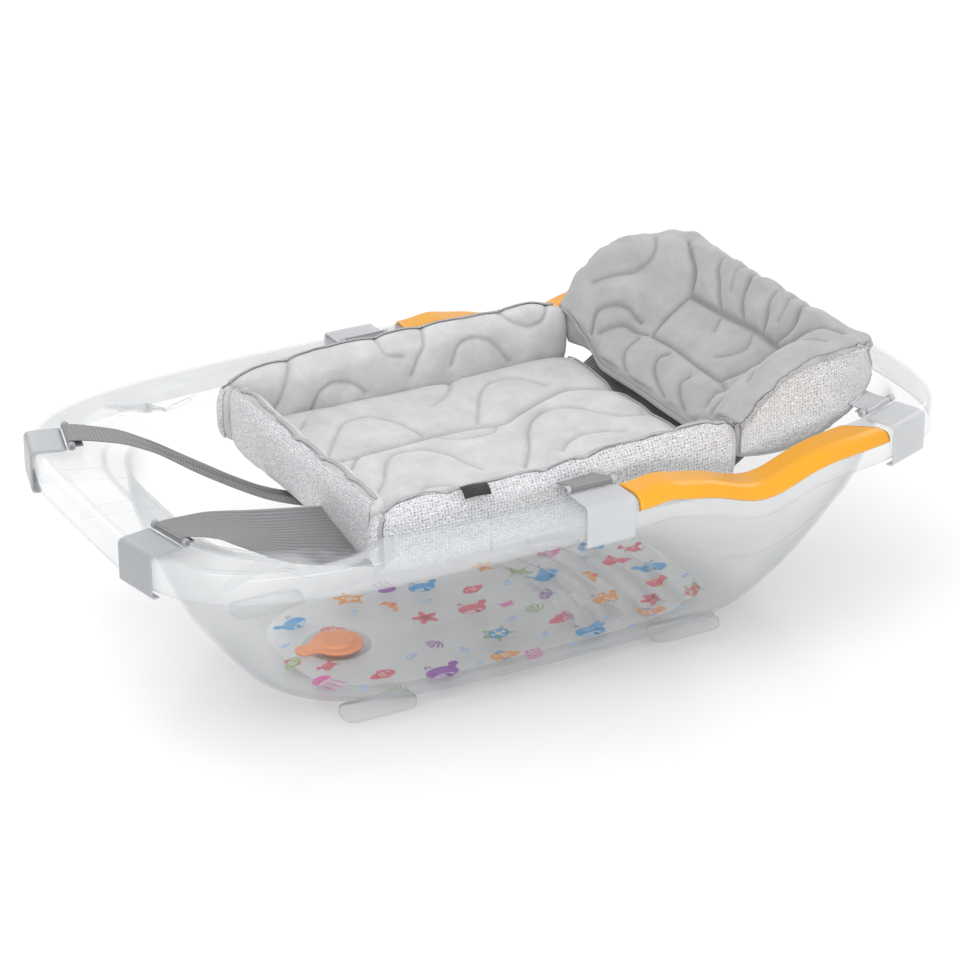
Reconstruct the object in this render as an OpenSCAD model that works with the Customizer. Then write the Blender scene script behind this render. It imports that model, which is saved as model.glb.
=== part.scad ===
// Baby bathtub with a padded bath seat hung from its rim.
// +X points to the head end, +Z is up, the origin is the middle of the footprint.

/* [Tub] */
// Length of the tub over the rim
tub_l = 860; // [820:5:900]
// Width of the tub over the rim
tub_w = 488; // [470:2:510]
// Height of the rim above the surface the tub stands on
rim_h = 225; // [220:1:235]
// Squareness of the rim outline, 2 is an ellipse
rim_square = 4.35; // [4:0.05:4.7]
// Thickness of the moulded wall
wall = 2.5; // [2:0.1:3]
// Height of the down-turned apron round the rim
apron_h = 31; // [29:1:33]
// Depth of the dip that the grips sit in
dip_depth = 20; // [16:1:22]
// Distance from the middle of the tub to the lowest point of the dip
dip_x = 165; // [155:1:175]

/* [Drain] */
// Radius of the drain hole
drain_r = 17; // [15:0.5:19]
// Distance of the drain from the middle of the tub, towards the foot end
drain_x = 168; // [165:1:175]

/* [Grips] */
// Columns of the shell that a grip reaches from the tub's middle, 4 degrees apart
grip_from = 21; // [20:1:21]
// Columns of the shell where a grip ends towards the head
grip_to = 9; // [9:1:12]
// Thickness of the grip moulding
grip_t = 2.2; // [1.8:0.1:2.6]

/* [Clips] */
// Length of a clip along the rim
clip_l = 52; // [44:1:54]
// Thickness of the clip plate
clip_t = 2.4; // [2:0.1:2.6]
// Free gap between the clip and the rim
clip_gap = 0.75; // [0.6:0.05:1]
// How far the lip reaches under the apron
clip_tuck = 5; // [3:0.5:6]

/* [Seat] */
// Length of the padded tray
tray_l = 387; // [380:1:392]
// Width of the padded tray over its walls
tray_w = 362; // [350:1:366]
// Height of the top of the tray walls
tray_top = 240; // [236:1:244]
// Height of the underside of the tray
tray_bottom = 166; // [160:1:172]
// Thickness of a padded wall
pad_t = 29; // [24:1:32]
// Thickness of the mattress
mattress_t = 30; // [26:1:34]
// Thickness of the spacer mesh
mesh_t = 1.6; // [1.2:0.1:2]

/* [Headrest] */
// Height of the highest point of the headrest
head_top = 302; // [296:1:308]
// Half of the width of the headrest's flat base
head_half = 96; // [90:1:100]
// Where the headrest ends at the head end
head_end = 352; // [345:1:356]

/* [Hidden] */

clear_plastic = [0.93, 0.95, 0.96, 0.45];
plush = [0.80, 0.80, 0.81];
silver_mesh = [0.66, 0.67, 0.68];
dark_mesh = [0.45, 0.45, 0.46];
amber = [0.96, 0.70, 0.16];

half_l = tub_l / 2;
half_w = tub_w / 2;
skin = wall / 2;
floor_z = 8.5;
floor_top = floor_z + skin;
floor_drop = rim_h - floor_z;
columns = 90;

// One station of the shell, from the middle of the floor to the hem of the apron:
// inset from the rim at the foot, head and side; squareness at the foot and head;
// drop below the rim at the foot, side and head; and how much it follows the dip.
stations = [
    [300, 300, 184, 2.8, 2.8, floor_drop, floor_drop, floor_drop, 0],
    [202, 208, 130, 3.3, 3.3, floor_drop, floor_drop, floor_drop, 0],
    [174, 180, 108, 3.4, 3.4, floor_drop - 4, floor_drop - 4, floor_drop - 4, 0],
    [150, 158, 96, 3.5, 3.5, floor_drop - 16, floor_drop - 16, floor_drop - 14, 0],
    [134, 138, 89, 3.5, 3.6, floor_drop - 34, floor_drop - 34, floor_drop - 30, 0],
    [118, 110, 80, 3.5, 3.8, floor_drop - 62, floor_drop - 62, floor_drop - 58, 0],
    [102, 82, 65, 3.7, 4.0, floor_drop - 104, floor_drop - 104, floor_drop - 100, 0.1],
    [90, 60, 50, 4.0, 4.2, floor_drop - 146, floor_drop - 146, floor_drop - 142, 0.4],
    [82, 44, 42, 3.6, 4.3, 24, 26, 26, 0.9],
    [60, 38, 38, 3.3, 4.35, 20, 12, 12, 1],
    [55, 35, 35, 3.3, 4.35, 11, 4, 4, 1],
    [51, 32, 32, 3.4, 4.35, 8.5, 0.6, 0.6, 1],
    [40, 26, 26, 3.6, 4.35, 8, 0, 0, 1],
    [28, 19, 19, 3.9, 4.35, 8, 0, 0, 1],
    [14, 10, 10, 4.2, 4.35, 6, 0, 0, 1],
    [7, 4, 4, 4.35, 4.35, 1.4, 1.8, 1.8, 1],
    [1.6, 1, 1, 4.35, 4.35, 5, 5, 5, 1],
    [0, 0, 0, 4.35, 4.35, 12, 12, 12, 1],
    [0, 0, 0, 4.35, 4.35, apron_h, apron_h, apron_h, 1]
];
last = len(stations) - 1;

function smooth(t) = let (u = min(1, max(0, t))) u * u * (3 - 2 * u);
function mix(a, b, t) = a + (b - a) * t;
function squircle(hl, hw, n, phi) =
    let (r = pow(pow(abs(cos(phi)) / hl, n) + pow(abs(sin(phi)) / hw, n), -1 / n))
    [r * cos(phi), r * sin(phi)];
function rim_point(phi) = squircle(half_l, half_w, rim_square, phi);
function end_share(phi) = smooth((abs(rim_point(phi).x) - 250) / 150);
function dip(x) = dip_depth * exp(-pow((x - dip_x) / 50, 2)) - 3.5 * exp(-pow((x - 60) / 18, 2));

// Soap dish: an oval bowl pressed into each foot-side corner of the rim.
dish_x = -268;
dish_y = 204;
dish_half = [54, 21];
dish_depth = 13;
dish_turn = 12;
function dish(x, y) =
    let (dx = x - dish_x, dy = abs(y) - dish_y,
         u = dx * cos(dish_turn) - dy * sin(dish_turn), v = dx * sin(dish_turn) + dy * cos(dish_turn),
         q = pow(u / dish_half.x, 2) + pow(v / dish_half.y, 2))
    dish_depth * smooth(1.6 * (1 - q));

// Point of the shell's middle surface at one station, as radius along phi and height.
function mid_rz(k, phi) =
    let (s = stations[k], foot = cos(phi) < 0, share = end_share(phi),
         hl = half_l - (foot ? s[0] : s[1]), hw = half_w - s[2],
         n = k > 13 ? rim_square : (foot ? s[3] : s[4]),
         p = squircle(hl, hw, n, phi),
         drop = mix(s[6], foot ? s[5] : s[7], share),
         bowl = k > 9 && k < 15 ? dish(p.x, p.y) : 0)
    [norm(p), rim_h - drop - s[8] * dip(p.x) - bowl];
function unit(v) = v / norm(v);
// The same station moved out from the middle surface, towards the wet or upper face.
function skin_rz(k, phi, out) =
    let (a = mid_rz(max(0, k - 1), phi), b = mid_rz(min(last, k + 1), phi), t = unit(b - a))
    mid_rz(k, phi) + out * [-t.y, t.x];
function skin_point(k, phi, out) =
    let (q = skin_rz(k, phi, out)) [q.x * cos(phi), q.x * sin(phi), q.y];

// Closed solid between two faces of points, each a list of rows of equal length.
module solid_between(upper, lower, closed) {
    rows = len(upper);
    cols = len(upper[0]);
    off = rows * cols;
    span = closed ? cols : cols - 1;
    function at(r, c) = r * cols + c % cols;
    pts = concat([for (r = upper) for (p = r) p], [for (r = lower) for (p = r) p]);
    faces = concat(
        [for (r = [0:rows - 2]) for (c = [0:span - 1]) [at(r, c), at(r, c + 1), at(r + 1, c + 1)]],
        [for (r = [0:rows - 2]) for (c = [0:span - 1]) [at(r, c), at(r + 1, c + 1), at(r + 1, c)]],
        [for (r = [0:rows - 2]) for (c = [0:span - 1]) [off + at(r + 1, c + 1), off + at(r, c + 1), off + at(r, c)]],
        [for (r = [0:rows - 2]) for (c = [0:span - 1]) [off + at(r + 1, c), off + at(r + 1, c + 1), off + at(r, c)]],
        [for (c = [0:span - 1]) [at(rows - 1, c), at(rows - 1, c + 1), off + at(rows - 1, c + 1)]],
        [for (c = [0:span - 1]) [at(rows - 1, c), off + at(rows - 1, c + 1), off + at(rows - 1, c)]],
        closed ? [[for (c = [0:cols - 1]) cols - 1 - c], [for (c = [0:cols - 1]) off + c]] : concat(
            [for (c = [0:span - 1]) [at(0, c + 1), at(0, c), off + at(0, c)]],
            [for (c = [0:span - 1]) [at(0, c + 1), off + at(0, c), off + at(0, c + 1)]],
            [for (r = [0:rows - 2]) [at(r, 0), at(r + 1, 0), off + at(r + 1, 0)]],
            [for (r = [0:rows - 2]) [at(r, 0), off + at(r + 1, 0), off + at(r, 0)]],
            [for (r = [0:rows - 2]) [at(r + 1, span), at(r, span), off + at(r, span)]],
            [for (r = [0:rows - 2]) [at(r + 1, span), off + at(r, span), off + at(r + 1, span)]]));
    polyhedron(pts, faces, convexity = 8);
}

module round_rect(size, r) {
    square([size.x - 2 * r, size.y], center = true);
    square([size.x, size.y - 2 * r], center = true);
    for (x = [-1, 1], y = [-1, 1])
        translate([x * (size.x / 2 - r), y * (size.y / 2 - r)])
            circle(r, $fn = 24);
}

module tub_shell() {
    angles = [for (i = [0:columns - 1]) i * 360 / columns];
    color(clear_plastic)
    difference() {
        union() {
            solid_between(
                [for (k = [0:last]) [for (a = angles) skin_point(k, a, skin)]],
                [for (k = [0:last]) [for (a = angles) skin_point(k, a, -skin)]],
                true);
            foot_pads();
            translate([-drain_x, 0, 2])
                cylinder(r = drain_r + 5, h = floor_z - 2, $fn = 64);
        }
        translate([-drain_x, 0, -1])
            cylinder(r = drain_r, h = 20, $fn = 64);
    }
}

// Four low pads moulded under the floor, which the tub stands on.
module foot_pads() {
    for (x = [-186, 154], y = [-1, 1])
        translate([x, y * 122, 0])
            linear_extrude(floor_z)
                round_rect([76, 30], 9);
}

module floor_decal() {
    color("lightskyblue")
    difference() {
        translate([-4, 0, floor_top])
            linear_extrude(0.3)
                polygon([for (i = [0:5:355]) squircle(222, 108, 3.3, i)]);
        translate([-drain_x, 0, 0])
            cylinder(r = 34, h = 30, $fn = 64);
    }
}

// Soft stopper with a round cap and a pull tab that points to the foot end.
module drain_plug() {
    cap_z = floor_top + 0.6;
    color([0.95, 0.65, 0.45])
    union() {
        translate([-drain_x, 0, 3])
            cylinder(r = drain_r - 0.6, h = cap_z - 2, $fn = 64);
        translate([-drain_x, 0, cap_z])
            linear_extrude(3.6) {
                circle(26, $fn = 64);
                translate([-21, 0])
                    square([30, 17], center = true);
                translate([-36, 0])
                    circle(8.5, $fn = 32);
            }
        translate([-drain_x, 0, cap_z + 3])
            cylinder(r = 17, h = 3, $fn = 64);
    }
}

// A grip covers the flange and the upper half of the apron along the dip.
module grip(side) {
    first = 11;
    gap = 0.15;
    from = side > 0 ? grip_to : columns - grip_from;
    to = side > 0 ? grip_from : columns - grip_to;
    angles = [for (i = [from:to]) i * 360 / columns];
    rows = [for (k = [first:last - 1]) k];
    color(amber)
    solid_between(
        [for (k = rows) [for (a = angles) skin_point(k, a, skin + gap + grip_t)]],
        [for (k = rows) [for (a = angles) skin_point(k, a, skin + gap)]],
        false);
}

// Clip places: angle round the rim of each clip's middle.
foot_clip_near = 164;
foot_clip_far = 162;
side_clip_near = 91.2;
side_clip_far = 96.6;
head_clip = 32.5;
bar_in = 36;
bar_z = rim_h + 6.5;
bar_r = 2;
function rim_turn(phi) =
    let (a = rim_point(phi - 0.5), b = rim_point(phi + 0.5), t = unit(b - a)) atan2(-t.x, t.y);

module at_rim(phi) {
    p = rim_point(phi);
    translate([p.x, p.y, 0])
        rotate([0, 0, rim_turn(phi)])
            children();
}

// Outline drawn with x outwards and y up, extruded along the rim.
module along_rim(length) {
    rotate([90, 0, 0])
        linear_extrude(length, center = true)
            children();
}

module box2d(x0, y0, x1, y1, r) {
    translate([(x0 + x1) / 2, (y0 + y1) / 2])
        round_rect([x1 - x0, y1 - y0], r);
}

// C-shaped hook: plate on the flange, curl round the roll, lip under the apron.
module clip_hook() {
    in_x = skin + clip_gap;
    top_z = rim_h + skin + clip_gap;
    lip_z = rim_h - apron_h - 5.6;
    plate_end = -bar_in + 4.4;
    difference() {
        box2d(-60, lip_z - clip_t, in_x + clip_t, top_z + clip_t, 6);
        box2d(-66, lip_z, in_x, top_z, 3.6);
        translate([-70, lip_z - 10])
            square([70 - clip_tuck, top_z - lip_z + 10]);
        translate([-70, top_z - 1])
            square([70 + plate_end, 10]);
    }
}

// Cheeks at both ends of the clip hold the bar that the strap loops round.
module clip(phi, tone) {
    cheek = 3.5;
    color(tone)
    at_rim(phi)
        union() {
            along_rim(clip_l)
                clip_hook();
            for (s = [-1, 1])
                translate([0, s * (clip_l - cheek) / 2, 0])
                    along_rim(cheek) {
                        translate([-bar_in, bar_z])
                            circle(4, $fn = 32);
                        translate([-bar_in, rim_h + skin + clip_gap])
                            square([8, clip_t]);
                    }
            translate([-bar_in, 0, bar_z])
                rotate([90, 0, 0])
                    cylinder(r = bar_r, h = clip_l, center = true, $fn = 32);
        }
}

// Flat webbing carried along middle points, with a width at each and the heading of its left side.
module ribbon(mids, widths, lefts, t) {
    n = len(mids);
    function side_at(i, s, up) =
        mids[i] + s * widths[i] / 2 * [cos(lefts[i]), sin(lefts[i]), 0] + [0, 0, up * t / 2];
    solid_between(
        [for (i = [0:n - 1]) [side_at(i, -1, 1), side_at(i, 1, 1)]],
        [for (i = [0:n - 1]) [side_at(i, -1, -1), side_at(i, 1, -1)]],
        false);
}

loop_r = 3.7;
strap_t = 1.4;
web_t = 1;
// Where the webbing leaves its loop round the clip's bar.
function loop_exit(phi, in) =
    let (p = rim_point(phi), a = rim_turn(phi)) [p.x - in * cos(a), p.y - in * sin(a), bar_z + 2.95];

module strap(phi, width, mids, widths, lefts, tone) {
    color(tone)
    union() {
        at_rim(phi)
            translate([-bar_in, 0, bar_z])
                rotate([90, 0, 0])
                    difference() {
                        cylinder(r = loop_r, h = width, center = true, $fn = 32);
                        cylinder(r = loop_r - strap_t, h = width + 2, center = true, $fn = 32);
                    }
        ribbon(
            concat([loop_exit(phi, bar_in), loop_exit(phi, bar_in + 6)], mids),
            concat([width, width], widths),
            concat([rim_turn(phi) - 90, rim_turn(phi) - 90], lefts),
            web_t);
    }
}

// Short straps from the middle of a long side and from the headrest's back corner.
module side_strap(phi) {
    strap(-phi, 42, [[rim_point(phi).x, -tray_half - mesh_t - 0.6, 227]], [42], [180], dark_mesh);
}

module head_strap() {
    strap(-head_clip, 38, [[322, -176.5, 235]], [32], [205], silver_mesh);
}

tray_from = -212;
tray_to = tray_from + tray_l;
tray_half = tray_w / 2;
wall_z = (tray_top + tray_bottom) / 2;
wall_h = tray_top - tray_bottom;
seam = 0.5;

// Padded bar with rounded edges, lying along X.
module pad_along_x(length, size, r) {
    rotate([90, 0, 90])
        linear_extrude(length)
            round_rect(size, r);
}

module mattress() {
    color(plush)
    translate([tray_from + pad_t + seam, 0, tray_bottom + mattress_t / 2])
        pad_along_x(tray_l - pad_t - seam, [tray_w - 2 * pad_t - 2 * seam, mattress_t], 10);
}

module tray_wall(side) {
    color(plush)
    translate([tray_from + 3, side * (tray_half - pad_t / 2), wall_z])
        pad_along_x(tray_l - 3, [pad_t - 1, wall_h], 10);
}

module wall_foot() {
    color(plush)
    translate([tray_from + pad_t / 2, tray_half - pad_t - seam, wall_z])
        rotate([0, 0, -90])
            pad_along_x(tray_w - 2 * pad_t - 2 * seam, [pad_t - 1, wall_h], 10);
}

module tray_mesh(side) {
    color(silver_mesh)
    translate([tray_from + 3, side * (tray_half + mesh_t / 2), wall_z])
        pad_along_x(tray_l - 3, [mesh_t, wall_h - 6], mesh_t / 2.01);
}

module mesh_foot() {
    color(silver_mesh)
    translate([tray_from - mesh_t / 2 - 0.3, tray_half - 2, wall_z])
        rotate([0, 0, -90])
            pad_along_x(tray_w - 4, [mesh_t, wall_h - 6], mesh_t / 2.01);
}

module mesh_floor() {
    color(silver_mesh)
    translate([tray_from + 4, 0, tray_bottom - mesh_t / 2 - 0.3])
        pad_along_x(tray_l - 8, [tray_w - 8, mesh_t], mesh_t / 2.01);
}

// Headrest: a sloping base, a back behind it and a wing on each side.
seam_x = tray_to + 5;
base_low = [seam_x, 205];
base_high = [286, 256];
back_top = [326, head_top - 3];
base_t = 24;
function base_z(x) = mix(base_low.y, base_high.y, (x - base_low.x) / (base_high.x - base_low.x));

module across_y(width) {
    rotate([90, 0, 0])
        linear_extrude(width, center = true)
            children();
}

module headrest_base() {
    color(plush)
    across_y(2 * head_half - 1)
        polygon([
            base_low, base_high,
            base_high + [9, -base_t + 3], base_high + [6, -base_t],
            base_low + [8, -base_t], base_low + [0, -base_t + 5]
        ]);
}

module headrest_back() {
    color(plush)
    across_y(2 * head_half - 1)
        polygon([
            base_high + [0.6, 1.5], back_top + [-4, 0], back_top + [2, 3], back_top + [12, 2],
            back_top + [21, -8], base_high + [25, -20], base_high + [10, -20.5]
        ]);
}

wing_in = head_half;
// Stations of a wing along X: place, height of its edge, height of its hem, distance of its outer face.
wing_stations = [
    [seam_x, 243, 196, 177], [200, 270, 192, 178], [230, 294, 193, 179], [262, head_top, 199, 179],
    [305, head_top - 3, 214, 176], [334, 280, 234, 168], [head_end, 256, 246, 154]
];
module wing(side) {
    color(plush)
    mirror([0, side < 0 ? 1 : 0, 0])
        hull()
            for (w = wing_stations) {
                inner_z = min(base_z(w.x), w.y - 8);
                out = w[3];
                translate([w.x, 0, 0])
                    rotate([90, 0, 90])
                        linear_extrude(0.01)
                            polygon([
                                [wing_in, inner_z], [out - 18, w.y - 1], [out - 8, w.y], [out - 1, w.y - 6],
                                [out, w.z + 3], [out - 8, w.z], [wing_in + 20, w.z],
                                [wing_in, min(inner_z - 4, w.z + 6)]
                            ]);
            }
}

// Panel of mesh that follows the wing's outer face.
module wing_mesh(side) {
    shares = [0, 0.5, 1];
    function at(w, share, out) = [w.x, w[3] + out, mix(w.z + 3, w.y - 5, share)];
    color(silver_mesh)
    mirror([0, side < 0 ? 1 : 0, 0])
        solid_between(
            [for (t = shares) [for (w = wing_stations) at(w, t, 0.6 + mesh_t)]],
            [for (t = shares) [for (w = wing_stations) at(w, t, 0.6)]],
            false);
}

module mesh_back() {
    color(silver_mesh)
    across_y(2 * head_half - 1)
        polygon([
            back_top + [21.5, -7.5], back_top + [21.5 + mesh_t, -7.5],
            base_high + [25.5 + mesh_t, -20], base_high + [25.5, -20]
        ]);
}

module mesh_head_floor() {
    color(silver_mesh)
    across_y(2 * head_half - 1)
        polygon([
            base_low + [8, -base_t - 0.3], base_high + [6, -base_t - 0.3], base_high + [24, -21 - 0.3],
            base_high + [24, -21 - 0.3 - mesh_t], base_high + [6, -base_t - 0.3 - mesh_t],
            base_low + [8, -base_t - 0.3 - mesh_t]
        ]);
}

module rod(a, b, r) {
    d = b - a;
    translate(a)
        rotate([0, acos(d.z / norm(d)), atan2(d.y, d.x)])
            cylinder(r = r, h = norm(d), $fn = 16);
}

// Overlocked edging along the outer top edge and the corners of the tray.
module tray_binding() {
    r = 1.8;
    y = tray_half + mesh_t + r + 0.2;
    x = tray_from - mesh_t - r - 0.5;
    z = tray_top - 4;
    color("dimgray") {
        for (s = [-1, 1])
            rod([tray_from + 6, s * y, z], [tray_to - 4, s * y, z], r);
        rod([x, -tray_half + 4, z], [x, tray_half - 4, z], r);
        for (s = [-1, 1])
            rod([x, s * (tray_half - 1), tray_bottom + 6], [x, s * (tray_half - 1), z - 4], r);
    }
}

module headrest_binding() {
    out = mesh_t + 1.2;
    heights = [-10, -5];
    function at(w, h, o) = [w.x, w[3] + o, w.y + h];
    color("dimgray")
    for (s = [0, 1])
        mirror([0, s, 0])
            solid_between(
                [for (h = heights) [for (w = wing_stations) at(w, h, out + 3)]],
                [for (h = heights) [for (w = wing_stations) at(w, h, out)]],
                false);
}

module care_label() {
    color("black")
    translate([-112, -tray_half - mesh_t - 4.4, tray_top - 10])
        cube([28, 0.8, 9], center = true);
}

tub_shell();
floor_decal();
drain_plug();
grip(-1);  // grip_near
grip(1);  // grip_far
clip(-foot_clip_near, "gray");  // clip_foot_near
clip(foot_clip_far, "gray");  // clip_foot_far
clip(-side_clip_near, "silver");  // clip_side_near
clip(side_clip_far, "silver");  // clip_side_far
clip(-head_clip, "silver");  // clip_head_near
clip(head_clip, "silver");  // clip_head_far
strap(-foot_clip_near, 42, [[-350, -108, 231], [-295, -112, 208], [-250, -112, 188], [-219, -112, 164]],  // strap_foot_near
        [46, 56, 64, 66], [97, 92, 90, 90], dark_mesh);
strap(foot_clip_far, 38, [[-345, 107, 228], [-318, 92, 219], [-270, 66, 197], [-219, 38, 164]],  // strap_foot_far
        [26, 24, 28, 32], [64, 62, 62, 66], dark_mesh);
side_strap(side_clip_near);  // strap_side_near
mirror([0, 1, 0]) side_strap(side_clip_far);  // strap_side_far
head_strap();  // strap_head_near
mirror([0, 1, 0]) head_strap();  // strap_head_far
mattress();
tray_wall(-1);  // wall_near
tray_wall(1);  // wall_far
wall_foot();
tray_mesh(-1);  // mesh_near
tray_mesh(1);  // mesh_far
mesh_foot();
mesh_floor();
headrest_base();
headrest_back();
wing(-1);  // wing_near
wing(1);  // wing_far
wing_mesh(-1);  // wing_mesh_near
wing_mesh(1);  // wing_mesh_far
mesh_back();
mesh_head_floor();
tray_binding();
headrest_binding();
care_label();
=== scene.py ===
"""Clear baby bathtub with amber grips, rim clips and a quilted seat hung from its rim.

Every piece is built in metres round the packed model. Tables of sizes are in millimetres.
+X points to the head end, -Y is the near side and +Z is up.
"""

import math

import bmesh
import bpy
import numpy as np
from bpy.props import FloatProperty, FloatVectorProperty, PointerProperty
from bpy.types import NodeSocket, Operator, Panel, PropertyGroup
from mathutils import Matrix


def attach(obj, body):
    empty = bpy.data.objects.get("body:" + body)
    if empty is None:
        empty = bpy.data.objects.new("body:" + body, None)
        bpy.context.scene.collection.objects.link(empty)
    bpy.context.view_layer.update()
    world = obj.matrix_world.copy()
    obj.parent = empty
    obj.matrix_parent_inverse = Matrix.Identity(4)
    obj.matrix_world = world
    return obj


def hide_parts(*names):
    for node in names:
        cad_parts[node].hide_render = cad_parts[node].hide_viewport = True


bl_info = {
    "name": "Clear Baby Bathtub",
    "version": (1, 0, 0),
    "blender": (4, 5, 0),
    "location": "View3D > Sidebar > Bathtub",
    "description": "Builds a clear baby bathtub and its padded seat round the packed model",
    "category": "Add Mesh",
}

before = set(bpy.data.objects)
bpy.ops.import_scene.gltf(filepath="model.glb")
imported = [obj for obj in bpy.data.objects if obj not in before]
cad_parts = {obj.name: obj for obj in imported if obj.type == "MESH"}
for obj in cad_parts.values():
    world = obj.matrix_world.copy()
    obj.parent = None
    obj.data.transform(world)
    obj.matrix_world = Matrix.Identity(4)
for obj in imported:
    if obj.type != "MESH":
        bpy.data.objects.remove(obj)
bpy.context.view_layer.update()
MM = 0.001
TUB = "tub"
# A wave texture of scale 1 repeats once in this many metres.
WAVE = math.pi / 10


def linear(code):
    """Turns an sRGB hex colour to linear red, green and blue."""
    srgb = np.array([int(code[i : i + 2], 16) for i in (1, 3, 5)]) / 255
    return tuple(np.where(srgb <= 0.04045, srgb / 12.92, ((srgb + 0.055) / 1.055) ** 2.4))


def size(name, description, default):
    """A length setting in metres."""
    return FloatProperty(
        name=name, description=description, default=default, min=0, precision=4, unit="LENGTH"
    )


def colour(name, description, code):
    """A colour setting whose default is an sRGB hex colour."""
    return FloatVectorProperty(
        name=name, description=description, default=linear(code), min=0, max=1, subtype="COLOR"
    )


class BathtubShellSettings(PropertyGroup):
    """Sizes and tint of the clear moulded tub."""

    rib_height: size("Rib height", "Height of the anti-slip ribs on the floor", 0.0036)
    step: size("Step", "How far the wall above the wavy line stands out", 0.0035)
    tint: colour("Tint", "Colour of the plastic where it is seen edge on", "#AEB2B5")


class BathtubPrintSettings(PropertyGroup):
    """Colours of the printed floor film."""

    film: colour("Film", "Colour of the white film", "#FDFDFD")
    blue: colour("Blue", "Ink of the blue whales", "#4FA3DC")
    purple: colour("Purple", "Ink of the purple whale and the weed", "#9A4FB5")
    coral: colour("Coral", "Ink of the red fish and starfish", "#E2626E")
    orange: colour("Orange", "Ink of the orange fish and seahorses", "#F2A457")
    green: colour("Green", "Ink of the turtles and the reef", "#A9BD86")
    pink: colour("Pink", "Ink of the jellyfish", "#E668B4")
    bubble: colour("Bubble", "Ink of the bubbles", "#B4CDEE")


class BathtubFittingsSettings(PropertyGroup):
    """Sizes and colours of the plug, the grips and the clips."""

    grip_thickness: size("Grip thickness", "Thickness of the grip moulding", 0.0022)
    grip_amber: colour("Grip", "Colour of the grips", "#E29C08")
    plug_peach: colour("Plug", "Colour of the soft plug", "#F0A070")
    clip_silver: colour("Silver clip", "Colour of the four light clips", "#C9CBCD")
    clip_smoke: colour("Smoke clip", "Colour of the foot end's clips", "#A6A9AC")


class BathtubSeatSettings(PropertyGroup):
    """Sizes and colours of the quilted seat."""

    mattress: size("Mattress", "Thickness of the mattress", 0.030)
    puff: size("Puff", "How far the filling stands up between two seams", 0.0048)
    seam: size("Seam", "How deep a sewn seam cuts in", 0.0026)
    plush: colour("Plush", "Colour of the tray's plush", "#CBCBCC")
    plush_shade: colour("Shaded plush", "Colour of the headrest's plush", "#ABABAC")
    spacer: colour("Spacer mesh", "Colour of the mesh on the outside", "#C8C9CB")
    edging: colour("Edging", "Colour of the overlock thread", "#ACADAF")
    webbing: colour("Webbing", "Colour of the dark net webbing", "#7C7C7E")
    light_webbing: colour("Light webbing", "Colour of the head end's straps", "#B7B8BA")
    label: colour("Label", "Colour of the blank label", "#17171A")


class BathtubStageSettings(PropertyGroup):
    """The floor, the lights and the camera."""

    floor: colour("Floor", "Colour of the studio floor", "#F6F6F6")
    camera_azimuth: FloatProperty(
        name="Azimuth", description="Camera direction round the tub",
        default=math.radians(-28.824), subtype="ANGLE",
    )
    camera_elevation: FloatProperty(
        name="Elevation", description="Camera height over the horizon",
        default=math.radians(25.238), subtype="ANGLE",
    )
    camera_distance: size("Distance", "Camera distance from its target", 3.547)
    target_height: size("Target", "Height of the point the camera looks at", 0.130)


# --------------------------------------------------------------------------
# Mesh helpers


def smooth_step(t):
    """3t^2 - 2t^3 with t held between 0 and 1."""
    t = np.clip(t, 0, 1)
    return t * t * (3 - 2 * t)


def bell(t):
    """Gaussian of t: 1 at 0 and 0.37 at 1."""
    return np.exp(-(t**2))


def eased(table, at):
    """Cubic through the rows of a table that never overshoots: a row's slope is the harmonic mean of
    the differences on its two sides, and zero where they have opposite signs."""
    table = np.asarray(table, float)
    gap = np.diff(table, axis=0)
    slope = np.zeros_like(table)
    same = gap[:-1] * gap[1:] > 0
    slope[1:-1] = np.where(
        same, 2 * gap[:-1] * gap[1:] / np.where(same, gap[:-1] + gap[1:], 1), 0
    )
    slope[0], slope[-1] = gap[0], gap[-1]
    i = np.clip(np.floor(at).astype(int), 0, len(table) - 2)
    t = (at - i).reshape(at.shape + (1,) * (table.ndim - 1))
    return (
        (2 * t**3 - 3 * t**2 + 1) * table[i]
        + (t**3 - 2 * t**2 + t) * slope[i]
        + (3 * t**2 - 2 * t**3) * table[i + 1]
        + (t**3 - t**2) * slope[i + 1]
    )


def grid_faces(rows, cols, wrap=False, start=0, flip=False):
    """Quads of a grid numbered row by row; wrap joins the last column to the first."""
    r = np.arange(rows - 1)[:, None]
    c = np.arange(cols if wrap else cols - 1)[None, :]
    a, b = r * cols + c, r * cols + (c + 1) % cols
    quads = np.stack([a, b, b + cols, a + cols], -1).reshape(-1, 4) + start
    return quads[:, ::-1] if flip else quads


def new_mesh(name, points, faces):
    """Mesh of points (n x 3, metres) and a list of face arrays."""
    mesh = bpy.data.meshes.new(name)
    mesh.from_pydata(np.reshape(points, (-1, 3)).tolist(), [], [f for a in faces for f in a.tolist()])
    return mesh


def settle(mesh, outward=True):
    """Merges doubles, drops faces without area and turns the normals of a closed shell outwards."""
    work = bmesh.new()
    work.from_mesh(mesh)
    bmesh.ops.remove_doubles(work, verts=work.verts, dist=2e-6)
    bmesh.ops.dissolve_degenerate(work, edges=work.edges, dist=1e-6)
    if outward:
        bmesh.ops.recalc_face_normals(work, faces=work.faces)
    work.to_mesh(mesh)
    work.free()
    mesh.shade_smooth()
    return mesh


def add_piece(name, mesh, material, body=TUB, replaces=()):
    """Links the mesh as a piece that rides on a body and stands for CAD nodes."""
    obj = bpy.data.objects.new(name, mesh)
    bpy.context.scene.collection.objects.link(obj)
    mesh.materials.clear()
    mesh.materials.append(material)
    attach(obj, body)
    if replaces:
        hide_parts(*replaces)
    return obj


def add_modifier(obj, kind, **settings):
    """Adds one modifier with its settings."""
    modifier = obj.modifiers.new(kind.lower(), kind)
    for key, value in settings.items():
        setattr(modifier, key, value)
    return modifier


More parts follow.
